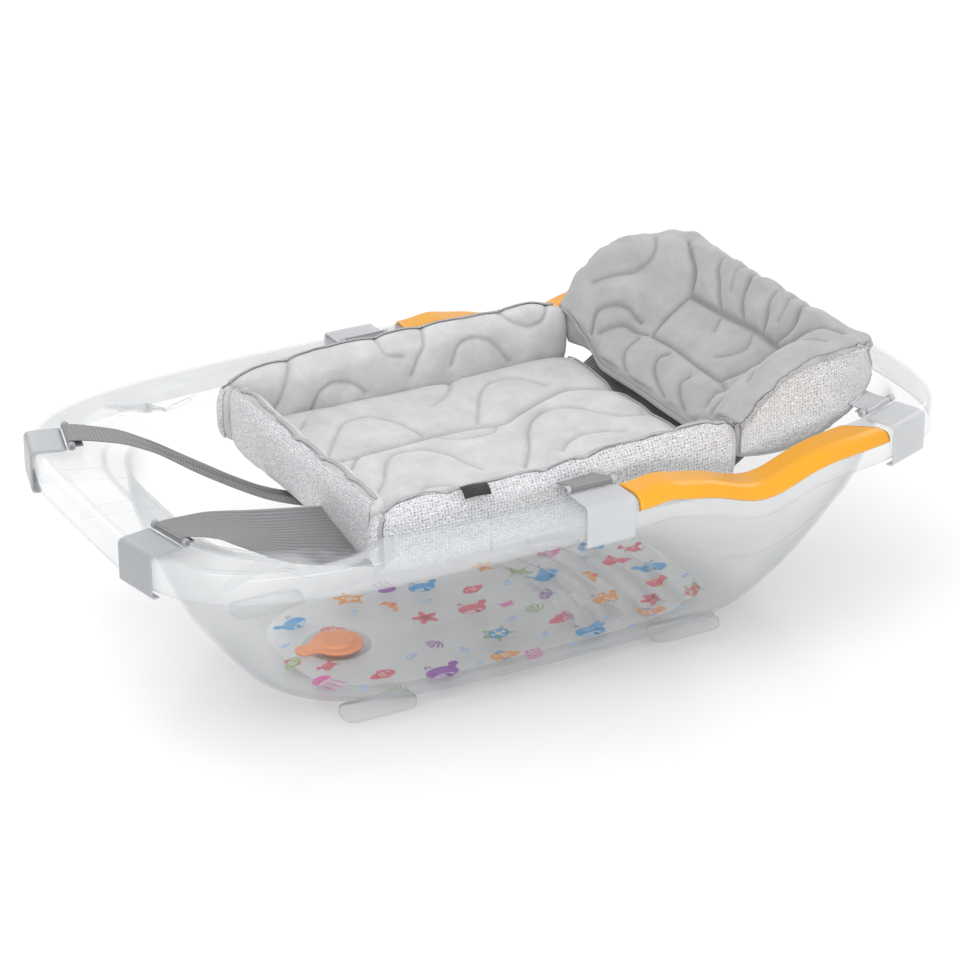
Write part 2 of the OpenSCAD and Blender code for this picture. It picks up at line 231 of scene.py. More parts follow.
def bake_modifiers(obj):
    """Replaces the object's mesh by what its modifiers make of it."""
    graph = bpy.context.evaluated_depsgraph_get()
    baked = bpy.data.meshes.new_from_object(obj.evaluated_get(graph), depsgraph=graph)
    obj.modifiers.clear()
    old, obj.data = obj.data, baked
    baked.name = obj.name
    bpy.data.meshes.remove(old)
    return obj


def coordinates(mesh):
    """The mesh's points as an n x 3 array."""
    co = np.empty(len(mesh.vertices) * 3, np.float32)
    mesh.vertices.foreach_get("co", co)
    return co.reshape(-1, 3).astype(float)


def normals(mesh):
    """The mesh's vertex normals as an n x 3 array."""
    n = np.empty(len(mesh.vertices) * 3, np.float32)
    mesh.vertex_normals.foreach_get("vector", n)
    return n.reshape(-1, 3).astype(float)


def set_coordinates(mesh, co):
    """Moves the mesh's points to the rows of an n x 3 array."""
    mesh.vertices.foreach_set("co", np.asarray(co, np.float32).ravel())
    mesh.update()


def lay_uv(mesh, uv):
    """Gives each corner of a face the (u, v) of its point: metres along and across the cloth."""
    layer = mesh.uv_layers.new(name="cloth")
    index = np.empty(len(mesh.loops), np.int32)
    mesh.loops.foreach_get("vertex_index", index)
    layer.data.foreach_set("uv", np.asarray(uv, np.float32)[index].ravel())


def shell_between(upper, lower, wrap=False):
    """Points and faces of a closed solid between two grids of the same shape (rows, cols, 3)."""
    rows, cols = upper.shape[:2]
    count = rows * cols
    grid = np.arange(count).reshape(rows, cols)
    edges = [grid[0], grid[-1][::-1]]
    if not wrap:
        edges = [np.concatenate([grid[0], grid[1:, -1], grid[-1, -2::-1], grid[-2:0:-1, 0]])]
    sides = []
    for ring in edges:
        ahead = np.roll(ring, -1)
        sides.append(np.stack([ahead, ring, ring + count, ahead + count], -1))
    points = np.concatenate([upper.reshape(-1, 3), lower.reshape(-1, 3)])
    faces = [grid_faces(rows, cols, wrap), grid_faces(rows, cols, wrap, count, True), *sides]
    return points, faces


def tube(path, radius, sides=12, squash=1.0):
    """Points and faces of a closed tube: a circle of the given radius, pressed to squash of its
    height, carried along a path whose frames keep one side as level as they can."""
    path = np.asarray(path, float)
    radius = np.broadcast_to(radius, len(path)).astype(float).copy()
    ahead = np.gradient(path, axis=0)
    ahead /= np.linalg.norm(ahead, axis=1)[:, None]
    up = np.where(np.abs(ahead[:, 2:3]) > 0.95, [[1.0, 0, 0]], [[0, 0, 1.0]])
    side = np.cross(ahead, up)
    side /= np.linalg.norm(side, axis=1)[:, None]
    rise = np.cross(side, ahead)
    turn = np.arange(sides) * 2 * np.pi / sides
    ring = radius[:, None, None] * (
        np.cos(turn)[None, :, None] * side[:, None]
        + squash * np.sin(turn)[None, :, None] * rise[:, None]
    )
    body = path[:, None] + ring
    points = np.concatenate([path[:1], body.reshape(-1, 3), path[-1:]])
    first = 1 + np.arange(sides)
    last = 1 + (len(path) - 1) * sides + np.arange(sides)
    faces = [
        grid_faces(len(path), sides, True, 1),
        np.stack([np.zeros(sides, int), np.roll(first, -1), first], -1),
        np.stack([np.full(sides, len(points) - 1), last, np.roll(last, -1)], -1),
    ]
    return points, faces


def join(parts):
    """Joins (points, faces) pairs to one pair."""
    points, faces, start = [], [], 0
    for p, f in parts:
        p = np.reshape(p, (-1, 3))
        points.append(p)
        faces += [a + start for a in f]
        start += len(p)
    return np.concatenate(points), faces


# --------------------------------------------------------------------------
# Material helpers


def add_node(tree, kind, inputs=None, **settings):
    """Adds a node: settings are its properties, and inputs maps a socket to a value or a link."""
    node = tree.nodes.new(kind)
    for key, value in settings.items():
        setattr(node, key, value)
    for key, value in (inputs or {}).items():
        if isinstance(value, NodeSocket):
            tree.links.new(value, node.inputs[key])
        elif hasattr(value, "__len__") and len(value) == 3 and node.inputs[key].type == "RGBA":
            node.inputs[key].default_value = (*value, 1)
        else:
            node.inputs[key].default_value = value
    return node


def new_material(name):
    """An empty node material and its output node."""
    material = bpy.data.materials.new(name)
    material.use_nodes = True
    material.node_tree.nodes.clear()
    tree = material.node_tree
    return material, tree, tree.nodes.new("ShaderNodeOutputMaterial")


def surface(tree, output, shader):
    """Links the finished shader to the material's output."""
    tree.links.new(shader, output.inputs["Surface"])


def tinted(tree, low, high, factor):
    """Mixes two colours by a factor."""
    return add_node(
        tree, "ShaderNodeMix", {0: factor, 6: (*low, 1), 7: (*high, 1)}, data_type="RGBA"
    ).outputs[2]


def shade(rgb, by):
    """A colour made lighter or darker by a factor, kept under 1."""
    return tuple(min(1.0, c * by) for c in rgb)


def clear_polypropylene(name, tint, body=0.020, edge=0.78):
    """Clear random-copolymer polypropylene, injection moulded and high gloss. It is nearly invisible
    seen square on and turns pale grey with bright glints where the eye looks along the wall. The
    attribute "thick" marks the doubled rim, which traps light and looks milky white."""
    material, tree, output = new_material(name)
    facing = add_node(tree, "ShaderNodeLayerWeight", {"Blend": 0.5}).outputs["Facing"]
    steep = add_node(tree, "ShaderNodeMath", {0: facing, 1: 3.5}, operation="POWER").outputs[0]
    cover = add_node(
        tree, "ShaderNodeMapRange", {"Value": steep, "To Min": body, "To Max": edge}
    ).outputs[0]
    thick = add_node(tree, "ShaderNodeAttribute", attribute_name="thick").outputs["Fac"]
    milk = add_node(tree, "ShaderNodeMath", {0: thick, 1: 0.22}, operation="MULTIPLY").outputs[0]
    cover = add_node(tree, "ShaderNodeMath", {0: cover, 1: milk}, operation="MAXIMUM").outputs[0]
    cast = add_node(
        tree, "ShaderNodeMix", {0: thick, 6: (*tint, 1), 7: (*linear("#D2D4D6"), 1)}, data_type="RGBA"
    ).outputs[2]
    coordinate = add_node(tree, "ShaderNodeTexCoord").outputs["Object"]
    flow = add_node(tree, "ShaderNodeTexNoise", {"Vector": coordinate, "Scale": 9.0, "Detail": 2.0})
    waves = add_node(
        tree, "ShaderNodeBump", {"Strength": 0.10, "Distance": 0.002, "Height": flow.outputs[0]}
    ).outputs[0]
    gloss = add_node(
        tree,
        "ShaderNodeBsdfPrincipled",
        {"Base Color": cast, "Roughness": 0.09, "IOR": 1.49, "Normal": waves,
         "Coat Weight": 0.5, "Coat Roughness": 0.03},
    ).outputs[0]
    pass_through = add_node(tree, "ShaderNodeBsdfTransparent", {"Color": (0.996, 0.997, 0.997, 1)})
    mixed = add_node(tree, "ShaderNodeMixShader", {0: cover, 1: pass_through.outputs[0], 2: gloss})
    surface(tree, output, mixed.outputs[0])
    return material


def moulded_plastic(name, rgb, roughness, coat, grain=0.25, alpha=1.0):
    """Opaque polypropylene from a spark-eroded mould: an even satin with a faint grain that breaks up
    the highlights and a tone that varies a little at random."""
    material, tree, output = new_material(name)
    coordinate = add_node(tree, "ShaderNodeTexCoord").outputs["Object"]
    # Spark erosion leaves pits of about 0.15 mm. They are drawn at 0.8 mm so that they show.
    pits = add_node(
        tree, "ShaderNodeTexNoise", {"Vector": coordinate, "Scale": 1200.0, "Detail": 1.0}
    ).outputs[0]
    cloud = add_node(
        tree, "ShaderNodeTexNoise", {"Vector": coordinate, "Scale": 14.0, "Detail": 3.0}
    ).outputs[0]
    skin = add_node(
        tree, "ShaderNodeMapRange",
        {"Value": cloud, "To Min": roughness * 0.85, "To Max": roughness * 1.2},
    ).outputs[0]
    bump = add_node(
        tree, "ShaderNodeBump", {"Strength": grain, "Distance": 0.00008, "Height": pits}
    ).outputs[0]
    shader = add_node(
        tree,
        "ShaderNodeBsdfPrincipled",
        {"Base Color": tinted(tree, shade(rgb, 0.94), shade(rgb, 1.04), cloud), "Roughness": skin,
         "IOR": 1.49, "Coat Weight": coat, "Coat Roughness": 0.12, "Normal": bump, "Alpha": alpha},
    ).outputs[0]
    surface(tree, output, shader)
    return material


def soft_rubber(name, rgb):
    """Thermoplastic rubber, moulded matt: a soft waxy face with light let a little way in."""
    material, tree, output = new_material(name)
    coordinate = add_node(tree, "ShaderNodeTexCoord").outputs["Object"]
    mottled = add_node(
        tree, "ShaderNodeTexNoise", {"Vector": coordinate, "Scale": 60.0, "Detail": 3.0}
    ).outputs[0]
    bump = add_node(
        tree, "ShaderNodeBump", {"Strength": 0.3, "Distance": 0.0002, "Height": mottled}
    ).outputs[0]
    shader = add_node(
        tree,
        "ShaderNodeBsdfPrincipled",
        {"Base Color": tinted(tree, shade(rgb, 0.93), shade(rgb, 1.05), mottled), "Roughness": 0.48,
         "Subsurface Weight": 0.15, "Subsurface Radius": (0.004, 0.002, 0.001), "Normal": bump},
    ).outputs[0]
    surface(tree, output, shader)
    return material


def printed_ink(name):
    """Screen-printed ink under a clear film: flat colour with a slight gloss and uneven cover."""
    material, tree, output = new_material(name)
    ink = add_node(tree, "ShaderNodeAttribute", attribute_name="ink").outputs["Color"]
    coordinate = add_node(tree, "ShaderNodeTexCoord").outputs["Object"]
    cover = add_node(
        tree, "ShaderNodeTexNoise", {"Vector": coordinate, "Scale": 220.0, "Detail": 2.0}
    ).outputs[0]
    alpha = add_node(tree, "ShaderNodeMapRange", {"Value": cover, "To Min": 0.72, "To Max": 0.98}).outputs[0]
    shader = add_node(
        tree, "ShaderNodeBsdfPrincipled",
        {"Base Color": ink, "Roughness": 0.35, "Alpha": alpha},
    ).outputs[0]
    surface(tree, output, shader)
    return material


def velour_plush(name, rgb):
    """Warp-knit polyester velour, brushed: a short dense pile that looks powdery, lighter where it
    is seen at a slant, with tufts lying in slightly different directions."""
    material, tree, output = new_material(name)
    coordinate = add_node(tree, "ShaderNodeTexCoord").outputs["Object"]
    # Pile tufts are about 0.4 mm; drawn at 1.1 mm so that they show.
    tufts = add_node(
        tree, "ShaderNodeTexNoise",
        {"Vector": coordinate, "Scale": 900.0, "Detail": 3.0, "Roughness": 0.7}
    ).outputs[0]
    lay = add_node(
        tree, "ShaderNodeTexNoise", {"Vector": coordinate, "Scale": 38.0, "Detail": 4.0, "Roughness": 0.6}
    ).outputs[0]
    both = add_node(tree, "ShaderNodeMath", {0: tufts, 1: lay}, operation="MULTIPLY").outputs[0]
    tone = add_node(
        tree, "ShaderNodeMapRange", {"Value": both, "From Min": 0.12, "From Max": 0.40}
    ).outputs[0]
    bump = add_node(
        tree, "ShaderNodeBump", {"Strength": 0.55, "Distance": 0.0006, "Height": tufts}
    ).outputs[0]
    nap = add_node(
        tree, "ShaderNodeBump", {"Strength": 0.25, "Distance": 0.002, "Height": lay, "Normal": bump}
    ).outputs[0]
    pile = tinted(tree, shade(rgb, 0.84), shade(rgb, 1.10), tone)
    # Painted shade along the sewn seams: the pile darkens towards 0.42 of its colour where the attribute
    # thread is high.
    thread = add_node(tree, "ShaderNodeAttribute", attribute_name="thread").outputs["Fac"]
    seam_shade = add_node(tree, "ShaderNodeMath", {0: thread, 1: 0.62}, operation="MULTIPLY").outputs[0]
    pile_with_seam_shade = add_node(
        tree, "ShaderNodeMix", {0: seam_shade, 6: pile, 7: (*shade(rgb, 0.42), 1)}, data_type="RGBA"
    ).outputs[2]
    shader = add_node(
        tree,
        "ShaderNodeBsdfPrincipled",
        {"Base Color": pile_with_seam_shade, "Roughness": 0.92,
         "Specular IOR Level": 0.2, "Sheen Weight": 0.35, "Sheen Roughness": 0.5, "Normal": nap},
    ).outputs[0]
    surface(tree, output, shader)
    return material


def spacer_mesh(name, rgb, cell=0.0034):
    """Polyester spacer mesh: rows of small round holes in a satin knit, with painted shade in the holes and
    painted glints scattered between them. Cells are 2.4 mm in the cloth and drawn at 3.4 mm so that they
    show."""
    material, tree, output = new_material(name)
    uv = add_node(tree, "ShaderNodeUVMap", uv_map="cloth").outputs[0]
    cells = add_node(
        tree, "ShaderNodeTexVoronoi", {"Vector": uv, "Scale": 1 / cell, "Randomness": 0.32},
        distance="EUCLIDEAN"
    )
    hole = add_node(
        tree, "ShaderNodeMapRange", {"Value": cells.outputs["Distance"], "From Min": 0.12, "From Max": 0.42}
    ).outputs[0]
    # Painted glints: noise specks raised to 1.9 times the colour.
    glint_speckle = add_node(tree, "ShaderNodeTexNoise", {"Vector": uv, "Scale": 520.0, "Detail": 2.0}).outputs[0]
    painted_glint = add_node(
        tree, "ShaderNodeMapRange", {"Value": glint_speckle, "From Min": 0.56, "From Max": 0.70}
    ).outputs[0]
    # Painted shade in the holes: the colour falls to 0.46 at each hole's middle.
    knit = tinted(tree, shade(rgb, 0.46), rgb, hole)
    knit_with_painted_glints = add_node(
        tree, "ShaderNodeMix", {0: painted_glint, 6: knit, 7: (*shade(rgb, 1.9), 1)}, data_type="RGBA"
    ).outputs[2]
    bump = add_node(tree, "ShaderNodeBump", {"Strength": 0.9, "Distance": 0.0007, "Height": hole}).outputs[0]
    shader = add_node(
        tree,
        "ShaderNodeBsdfPrincipled",
        {"Base Color": knit_with_painted_glints, "Roughness": 0.5, "Sheen Weight": 0.25, "Sheen Roughness": 0.4, "Normal": bump},
    ).outputs[0]
    surface(tree, output, shader)
    return material


def net_webbing(name, rgb, open_share=0.0):
    """Narrow warp-knit net: fine ribs along the band crossed by finer threads, with pin holes that let the
    light through, painted shade between the threads and a painted highlight on them. Ribs are 1.6 mm apart
    and drawn at 2.4 mm."""
    material, tree, output = new_material(name)
    uv = add_node(tree, "ShaderNodeUVMap", uv_map="cloth").outputs[0]
    ribs = add_node(
        tree, "ShaderNodeTexWave", {"Vector": uv, "Scale": WAVE / 0.0024, "Distortion": 0.4, "Detail": 1.0},
        wave_type="BANDS", bands_direction="Y",
    ).outputs["Fac"]
    picks = add_node(
        tree, "ShaderNodeTexWave", {"Vector": uv, "Scale": WAVE / 0.0030, "Distortion": 0.6, "Detail": 1.0},
        wave_type="BANDS", bands_direction="X",
    ).outputs["Fac"]
    weave = add_node(tree, "ShaderNodeMath", {0: ribs, 1: picks}, operation="MAXIMUM").outputs[0]
    bump = add_node(tree, "ShaderNodeBump", {"Strength": 0.8, "Distance": 0.0005, "Height": weave}).outputs[0]
    alpha = add_node(
        tree, "ShaderNodeMapRange",
        {"Value": weave, "From Min": 0.15, "From Max": 0.45, "To Min": 1 - open_share}
    ).outputs[0]
    # Colour runs from painted shade between the threads (0.5) to a painted highlight on them (1.25).
    shader = add_node(
        tree,
        "ShaderNodeBsdfPrincipled",
        {"Base Color": tinted(tree, shade(rgb, 0.5), shade(rgb, 1.25), weave), "Roughness": 0.55,
         "Sheen Weight": 0.2, "Normal": bump, "Alpha": alpha},
    ).outputs[0]
    surface(tree, output, shader)
    return material


def overlock_thread(name, rgb):
    """Woolly-nylon overlock stitching: close slanting threads, fluffy and matt, with painted shade between
    the threads and a painted highlight on them.
    """
    material, tree, output = new_material(name)
    uv = add_node(tree, "ShaderNodeUVMap", uv_map="cloth").outputs[0]
    slant = add_node(tree, "ShaderNodeMapping", {"Vector": uv, "Rotation": (0, 0, 0.5)}).outputs[0]
    threads = add_node(
        tree, "ShaderNodeTexWave",
        {"Vector": slant, "Scale": WAVE / 0.0020, "Distortion": 1.5, "Detail": 2.0},
        wave_type="BANDS", bands_direction="X",
    ).outputs["Fac"]
    bump = add_node(
        tree, "ShaderNodeBump", {"Strength": 0.6, "Distance": 0.0006, "Height": threads}
    ).outputs[0]
    # Colour runs from painted shade between the threads (0.66) to a painted highlight on them (1.3).
    shader = add_node(
        tree,
        "ShaderNodeBsdfPrincipled",
        {"Base Color": tinted(tree, shade(rgb, 0.66), shade(rgb, 1.3), threads), "Roughness": 0.85,
         "Sheen Weight": 0.3, "Normal": bump},
    ).outputs[0]
    surface(tree, output, shader)
    return material


def material_named(name, make, *arguments, **settings):
    """The material if it is there already, else made now, so that like pieces share it."""
    return bpy.data.materials.get(name) or make(name, *arguments, **settings)


# --------------------------------------------------------------------------
# The tub's shell

# One row for each station of the shell, from the middle of the floor to the hem of the apron: inset
# from the rim at the foot, head and side; squareness at the foot and head; drop below the rim at the
# foot, side and head; share of the dip that it follows.
FLOOR_DROP = 216.5
STATIONS = np.array([
    [430, 430, 244, 2.2, 2.2, FLOOR_DROP, FLOOR_DROP, FLOOR_DROP, 0],
    [300, 300, 184, 2.8, 2.8, FLOOR_DROP, FLOOR_DROP, FLOOR_DROP, 0],
    [202, 208, 130, 3.3, 3.3, FLOOR_DROP, FLOOR_DROP, FLOOR_DROP, 0],
    [174, 180, 108, 3.4, 3.4, FLOOR_DROP - 4, FLOOR_DROP - 4, FLOOR_DROP - 4, 0],
    [150, 158, 96, 3.5, 3.5, FLOOR_DROP - 16, FLOOR_DROP - 16, FLOOR_DROP - 14, 0],
    [134, 138, 89, 3.5, 3.6, FLOOR_DROP - 34, FLOOR_DROP - 34, FLOOR_DROP - 30, 0],
    [118, 110, 80, 3.5, 3.8, FLOOR_DROP - 62, FLOOR_DROP - 62, FLOOR_DROP - 58, 0],
    [102, 82, 65, 3.7, 4.0, FLOOR_DROP - 104, FLOOR_DROP - 104, FLOOR_DROP - 100, 0.1],
    [90, 60, 50, 4.0, 4.2, FLOOR_DROP - 146, FLOOR_DROP - 146, FLOOR_DROP - 142, 0.4],
    [82, 44, 42, 3.6, 4.3, 24, 26, 26, 0.9],
    [60, 38, 38, 3.3, 4.35, 20, 12, 12, 1],
    [55, 35, 35, 3.3, 4.35, 11, 4, 4, 1],
    [51, 32, 32, 3.4, 4.35, 8.5, 0.6, 0.6, 1],
    [40, 26, 26, 3.6, 4.35, 8, 0, 0, 1],
    [28, 19, 19, 3.9, 4.35, 8, 0, 0, 1],
    [14, 10, 10, 4.35, 4.35, 6, 0, 0, 1],
    [7, 4, 4, 4.35, 4.35, 1.4, 1.8, 1.8, 1],
    [1.6, 1, 1, 4.35, 4.35, 5, 5, 5, 1],
    [0, 0, 0, 4.35, 4.35, 12, 12, 12, 1],
    [0, 0, 0, 4.35, 4.35, 31, 31, 31, 1],
])
HALF_L, HALF_W, RIM_H, FLOOR_Z = 430.0, 244.0, 225.0, 8.5
RIM_SQUARE = 4.35
SKIN = 1.25
FLANGE_STATION = 12.5
DRAIN_X, DRAIN_R = -168.0, 17.0
# Rows of the shell in each interval of the table; the wall with the step line is the finest.
ROWS_PER_STATION = [16, 36, 4, 4, 5, 12, 16, 16, 6, 4, 4, 3, 3, 3, 4, 4, 4, 3, 3]
SHELL_COLUMNS = 300
# The wavy line along the side walls: place along the tub and height.
STEP_LINE = np.array([
    [-330, 135], [-260, 124], [-190, 112], [-157, 104], [-125, 103], [-105, 106], [-86, 119], [-69, 139],
    [-50, 152], [-30, 161], [-8, 165], [13, 165], [70, 154], [89, 143], [109, 130], [137, 112],
    [163, 100], [189, 94], [214, 91], [239, 93], [263, 102], [300, 122], [340, 138],
])


def squircle_radius(half_l, half_w, power, turn):
    """Distance to |x/half_l|^n + |y/half_w|^n = 1 in the direction of turn."""
    return (np.abs(np.cos(turn) / half_l) ** power + np.abs(np.sin(turn) / half_w) ** power) ** (-1 / power)


def dip(x):
    """Drop of the rim along X: a bell 20 mm deep at the grips with a small hump before it."""
    return 20 * bell((x - 165) / 50) - 3.5 * bell((x - 60) / 18)


def soap_dish(x, y):
    """Drop of the two oval bowls pressed into the foot-side corners of the rim."""
    dx, dy, turn = x + 268, np.abs(y) - 204, math.radians(12)
    u = dx * math.cos(turn) - dy * math.sin(turn)
    v = dx * math.sin(turn) + dy * math.cos(turn)
    return 13 * smooth_step(1.6 * (1 - (u / 54) ** 2 - (v / 21) ** 2))


def floor_ribs(x, y):
    """Anti-slip ribs: rounded ridges 24 mm apart along circles round a point towards the foot end,
    faded out at the ends of their field."""
    reach = np.hypot(x + 110, 0.95 * y)
    wave = np.maximum(0, np.cos(2 * np.pi * (reach - 178) / 24)) ** 1.4
    inside = smooth_step((x - 42) / 18) * smooth_step((236 - x) / 14) * smooth_step((100 - np.abs(y)) / 16)
    return wave * inside


def step_out(x, z):
    """1 just above the wavy line and 0 below it, fading away higher up the wall."""
    line = np.interp(x, STEP_LINE[:, 0], STEP_LINE[:, 1])
    ends = smooth_step((x + 330) / 90) * smooth_step((340 - x) / 60)
    return smooth_step((z - line + 1.6) / 3.2) * (1 - smooth_step((z - line - 12) / 70)) * ends


def shell_middle(station, turn, settings):
    """Middle surface of the shell at fractional station numbers (rows) and directions (columns), as
    radius and height. Foot and head values meet at the sides; heights blend to the side's value."""
    s = eased(STATIONS, station)[:, None, :]
    foot = np.cos(turn) < 0
    rim_x = squircle_radius(HALF_L, HALF_W, RIM_SQUARE, turn) * np.cos(turn)
    share = smooth_step((np.abs(rim_x) - 250) / 150)
    half_l = np.maximum(HALF_L - np.where(foot, s[..., 0], s[..., 1]), 0.01)
    half_w = np.maximum(HALF_W - s[..., 2], 0.01)
    power = np.where(foot, s[..., 3], s[..., 4])
    radius = squircle_radius(half_l, half_w, power, turn)
    x, y = radius * np.cos(turn), radius * np.sin(turn)
    drop = s[..., 6] + (np.where(foot, s[..., 5], s[..., 7]) - s[..., 6]) * share
    k = station[:, None]
    bowl = soap_dish(x, y) * smooth_step(k - 10) * (1 - smooth_step(k - 15))
    height = RIM_H - drop - s[..., 8] * dip(x) - bowl
    height = height + settings.rib_height / MM * floor_ribs(x, y) * (k < 2.2)
    wall = smooth_step((k - 4) / 1.5) * (1 - smooth_step((k - 8.3) / 0.7)) * (np.abs(np.sin(turn)) > 0.05)
    radius = radius + settings.step / MM * step_out(x, height) * wall * smooth_step((np.abs(y) - 60) / 60)
    return radius, height


def shell_face(station, turn, out, settings):
    """The middle surface moved by out along its own normal in the radial plane, in metres."""
    low = np.clip(station - 0.25, 0, None)
    high = np.clip(station + 0.25, None, len(STATIONS) - 1)
    r, z = shell_middle(station, turn, settings)
    r0, z0 = shell_middle(low, turn, settings)
    r1, z1 = shell_middle(high, turn, settings)
    dr, dz = r1 - r0, z1 - z0
    length = np.maximum(np.hypot(dr, dz), 1e-9)
    r, z = r - out * dz / length, z + out * dr / length
    return np.stack([r * np.cos(turn), r * np.sin(turn), np.broadcast_to(z, r.shape)], -1) * MM


def shell_rows(first=0, last=None):
    """Fractional station numbers with the table's count of rows in each interval."""
    counts = ROWS_PER_STATION[first:last]
    rows = [first + i + np.arange(n) / n for i, n in enumerate(counts)]
    return np.concatenate([*rows, [first + len(counts)]])


class BATHTUB_OT_shell(Operator):
    """Make the clear tub with its rim, floor ribs, soap dishes and drain hole"""

    bl_idname = "bathtub.shell"
    bl_label = "Tub shell"

    def execute(self, context):
        settings = context.scene.bathtub_shell
        clear = material_named("clear_moulded_polypropylene", clear_polypropylene, settings.tint)
        station = shell_rows()[1:]
        turn = np.arange(SHELL_COLUMNS)[None, :] * 2 * np.pi / SHELL_COLUMNS
        faces_of = [shell_face(station, turn, out, settings) for out in (SKIN, -SKIN)]
        points, faces = shell_between(*faces_of, wrap=True)
        count = len(station) * SHELL_COLUMNS
        poles = np.array([[0, 0, FLOOR_Z + SKIN], [0, 0, FLOOR_Z - SKIN]]) * MM
        ring = np.arange(SHELL_COLUMNS)
        fans = [
            np.stack([ring, np.roll(ring, -1), np.full(SHELL_COLUMNS, 2 * count)], -1),
            np.stack([np.roll(ring, -1) + count, ring + count, np.full(SHELL_COLUMNS, 2 * count + 1)], -1),
        ]
        # The wrapped grid closes at the hem; its first ring is closed by the fans instead.
        faces = [faces[0], faces[1], faces[3], *fans]
        mesh = settle(new_mesh("tub_shell_clear", np.concatenate([points, poles]), faces))
        shell = add_piece("tub_shell_clear", mesh, clear, replaces=["tub_shell"])
        self.cut_drain(shell)
        self.mark_rim(shell, settings)
        self.feet(clear)
        self.gussets(clear)
        self.collar(clear)
        return {"FINISHED"}

    def mark_rim(self, shell, settings):
        """The attribute "thick": 0 on the walls, rising to 1 within 7 mm outside the flange's inner edge."""
        co = coordinates(shell.data) / MM
        turn = np.arange(SHELL_COLUMNS) * 2 * np.pi / SHELL_COLUMNS
        ring = shell_middle(np.array([FLANGE_STATION]), turn[None, :], settings)[0].ravel()
        inner = np.interp(np.arctan2(co[:, 1], co[:, 0]), turn, ring, period=2 * np.pi)
        thick = smooth_step((np.hypot(co[:, 0], co[:, 1]) - inner) / 7)
        shell.data.attributes.new("thick", "FLOAT", "POINT").data.foreach_set(
            "value", thick.astype(np.float32)
        )

    def cut_drain(self, shell):
        """Bores the drain hole with a round cutter."""
        path = np.array([[DRAIN_X, 0.0, -4.0], [DRAIN_X, 0.0, 4.0], [DRAIN_X, 0.0, 20.0]]) * MM
        cutter = bpy.data.objects.new(
            "drain_cutter", settle(new_mesh("cutter", *tube(path, DRAIN_R * MM, 64)))
        )
        bpy.context.scene.collection.objects.link(cutter)
        add_modifier(shell, "BOOLEAN", object=cutter, operation="DIFFERENCE", solver="EXACT")
        bake_modifiers(shell)
        bpy.data.objects.remove(cutter)
        shell.data.shade_smooth()

    def feet(self, clear):
        """Four pads: superellipse outlines from the floor down, pulled in at the bottom edge."""
        turn = np.arange(64) * 2 * np.pi / 64
        parts = []
        for x in (-186, 154):
            for y in (-122, 122):
                rows = []
                for z, inset in ((8.8, 0), (1.8, 0), (0.5, 0.6), (0, 1.8)):
                    r = squircle_radius(38 - inset, 15 - inset, 5, turn)
                    rows.append(np.stack([x + r * np.cos(turn), y + r * np.sin(turn), np.full(64, z)], -1))
                grid = np.array(rows) * MM
                points = np.concatenate(
                    [grid.reshape(-1, 3), [[x * MM, y * MM, 8.8 * MM], [x * MM, y * MM, 0]]]
                )
                ring = np.arange(64)
                caps = [
                    np.stack([np.roll(ring, -1), ring, np.full(64, 256)], -1),
                    np.stack([ring + 192, np.roll(ring, -1) + 192, np.full(64, 257)], -1),
                ]
                parts.append((points, [grid_faces(4, 64, True), *caps]))
        add_piece("tub_feet", settle(new_mesh("tub_feet", *join(parts))), clear)

    def gussets(self, clear):
        """Thin plates under the flange between the wall and the apron, stood along the radius."""
        parts = []
        for degrees in (-152, -136, -118, -70, -52, -40, 24, 40, 54, 72, 118, 136, 150, 168, 180, -168, 0):
            turn = np.array([[math.radians(degrees)]])
            outline = np.concatenate([
                shell_face(np.array([9.0, 10.0, 11.5, 13.0, 15.0]), turn, -SKIN, shell_settings())[:, 0],
                shell_face(np.array([18.0, 18.4]), turn, -SKIN, shell_settings())[:, 0],
            ])
            side = np.array([-math.sin(turn[0, 0]), math.cos(turn[0, 0]), 0]) * 0.9 * MM
            upper = np.stack([outline + side, np.linspace(outline[0], outline[-1], 7) + side])
            lower = upper - 2 * side
            parts.append(shell_between(upper, lower))
        mesh = settle(new_mesh("rim_gussets", *join(parts)))
        mesh.shade_flat()
        add_piece("rim_gussets", mesh, clear)

    def collar(self, clear):
        """Round seat of the drain under the floor: a ring of rectangular section, edges rounded."""
        turn = np.arange(64) * 2 * np.pi / 64
        section = np.array(
            [[DRAIN_R, 2.4], [DRAIN_R + 0.4, 2], [21.6, 2], [22, 2.4], [22, 7.2], [DRAIN_R, 7.2]]
        )
        x = DRAIN_X + section[:, :1] * np.cos(turn)
        grid = np.stack([x, section[:, :1] * np.sin(turn), np.broadcast_to(section[:, 1:], x.shape)], -1) * MM
        closed = np.concatenate([grid, grid[:1]])
        mesh = settle(new_mesh("drain_collar", closed, [grid_faces(7, 64, True)]))
        add_piece("drain_collar", mesh, clear)


def shell_settings():
    """The settings of the tub's shell."""
    return bpy.context.scene.bathtub_shell


# --------------------------------------------------------------------------
# Printed floor film

FILM_TOP = 10.05


def film_height(x, y):
    """Height of the film over the floor: it follows the ribs."""
    return FILM_TOP + shell_settings().rib_height / MM * floor_ribs(x, y)


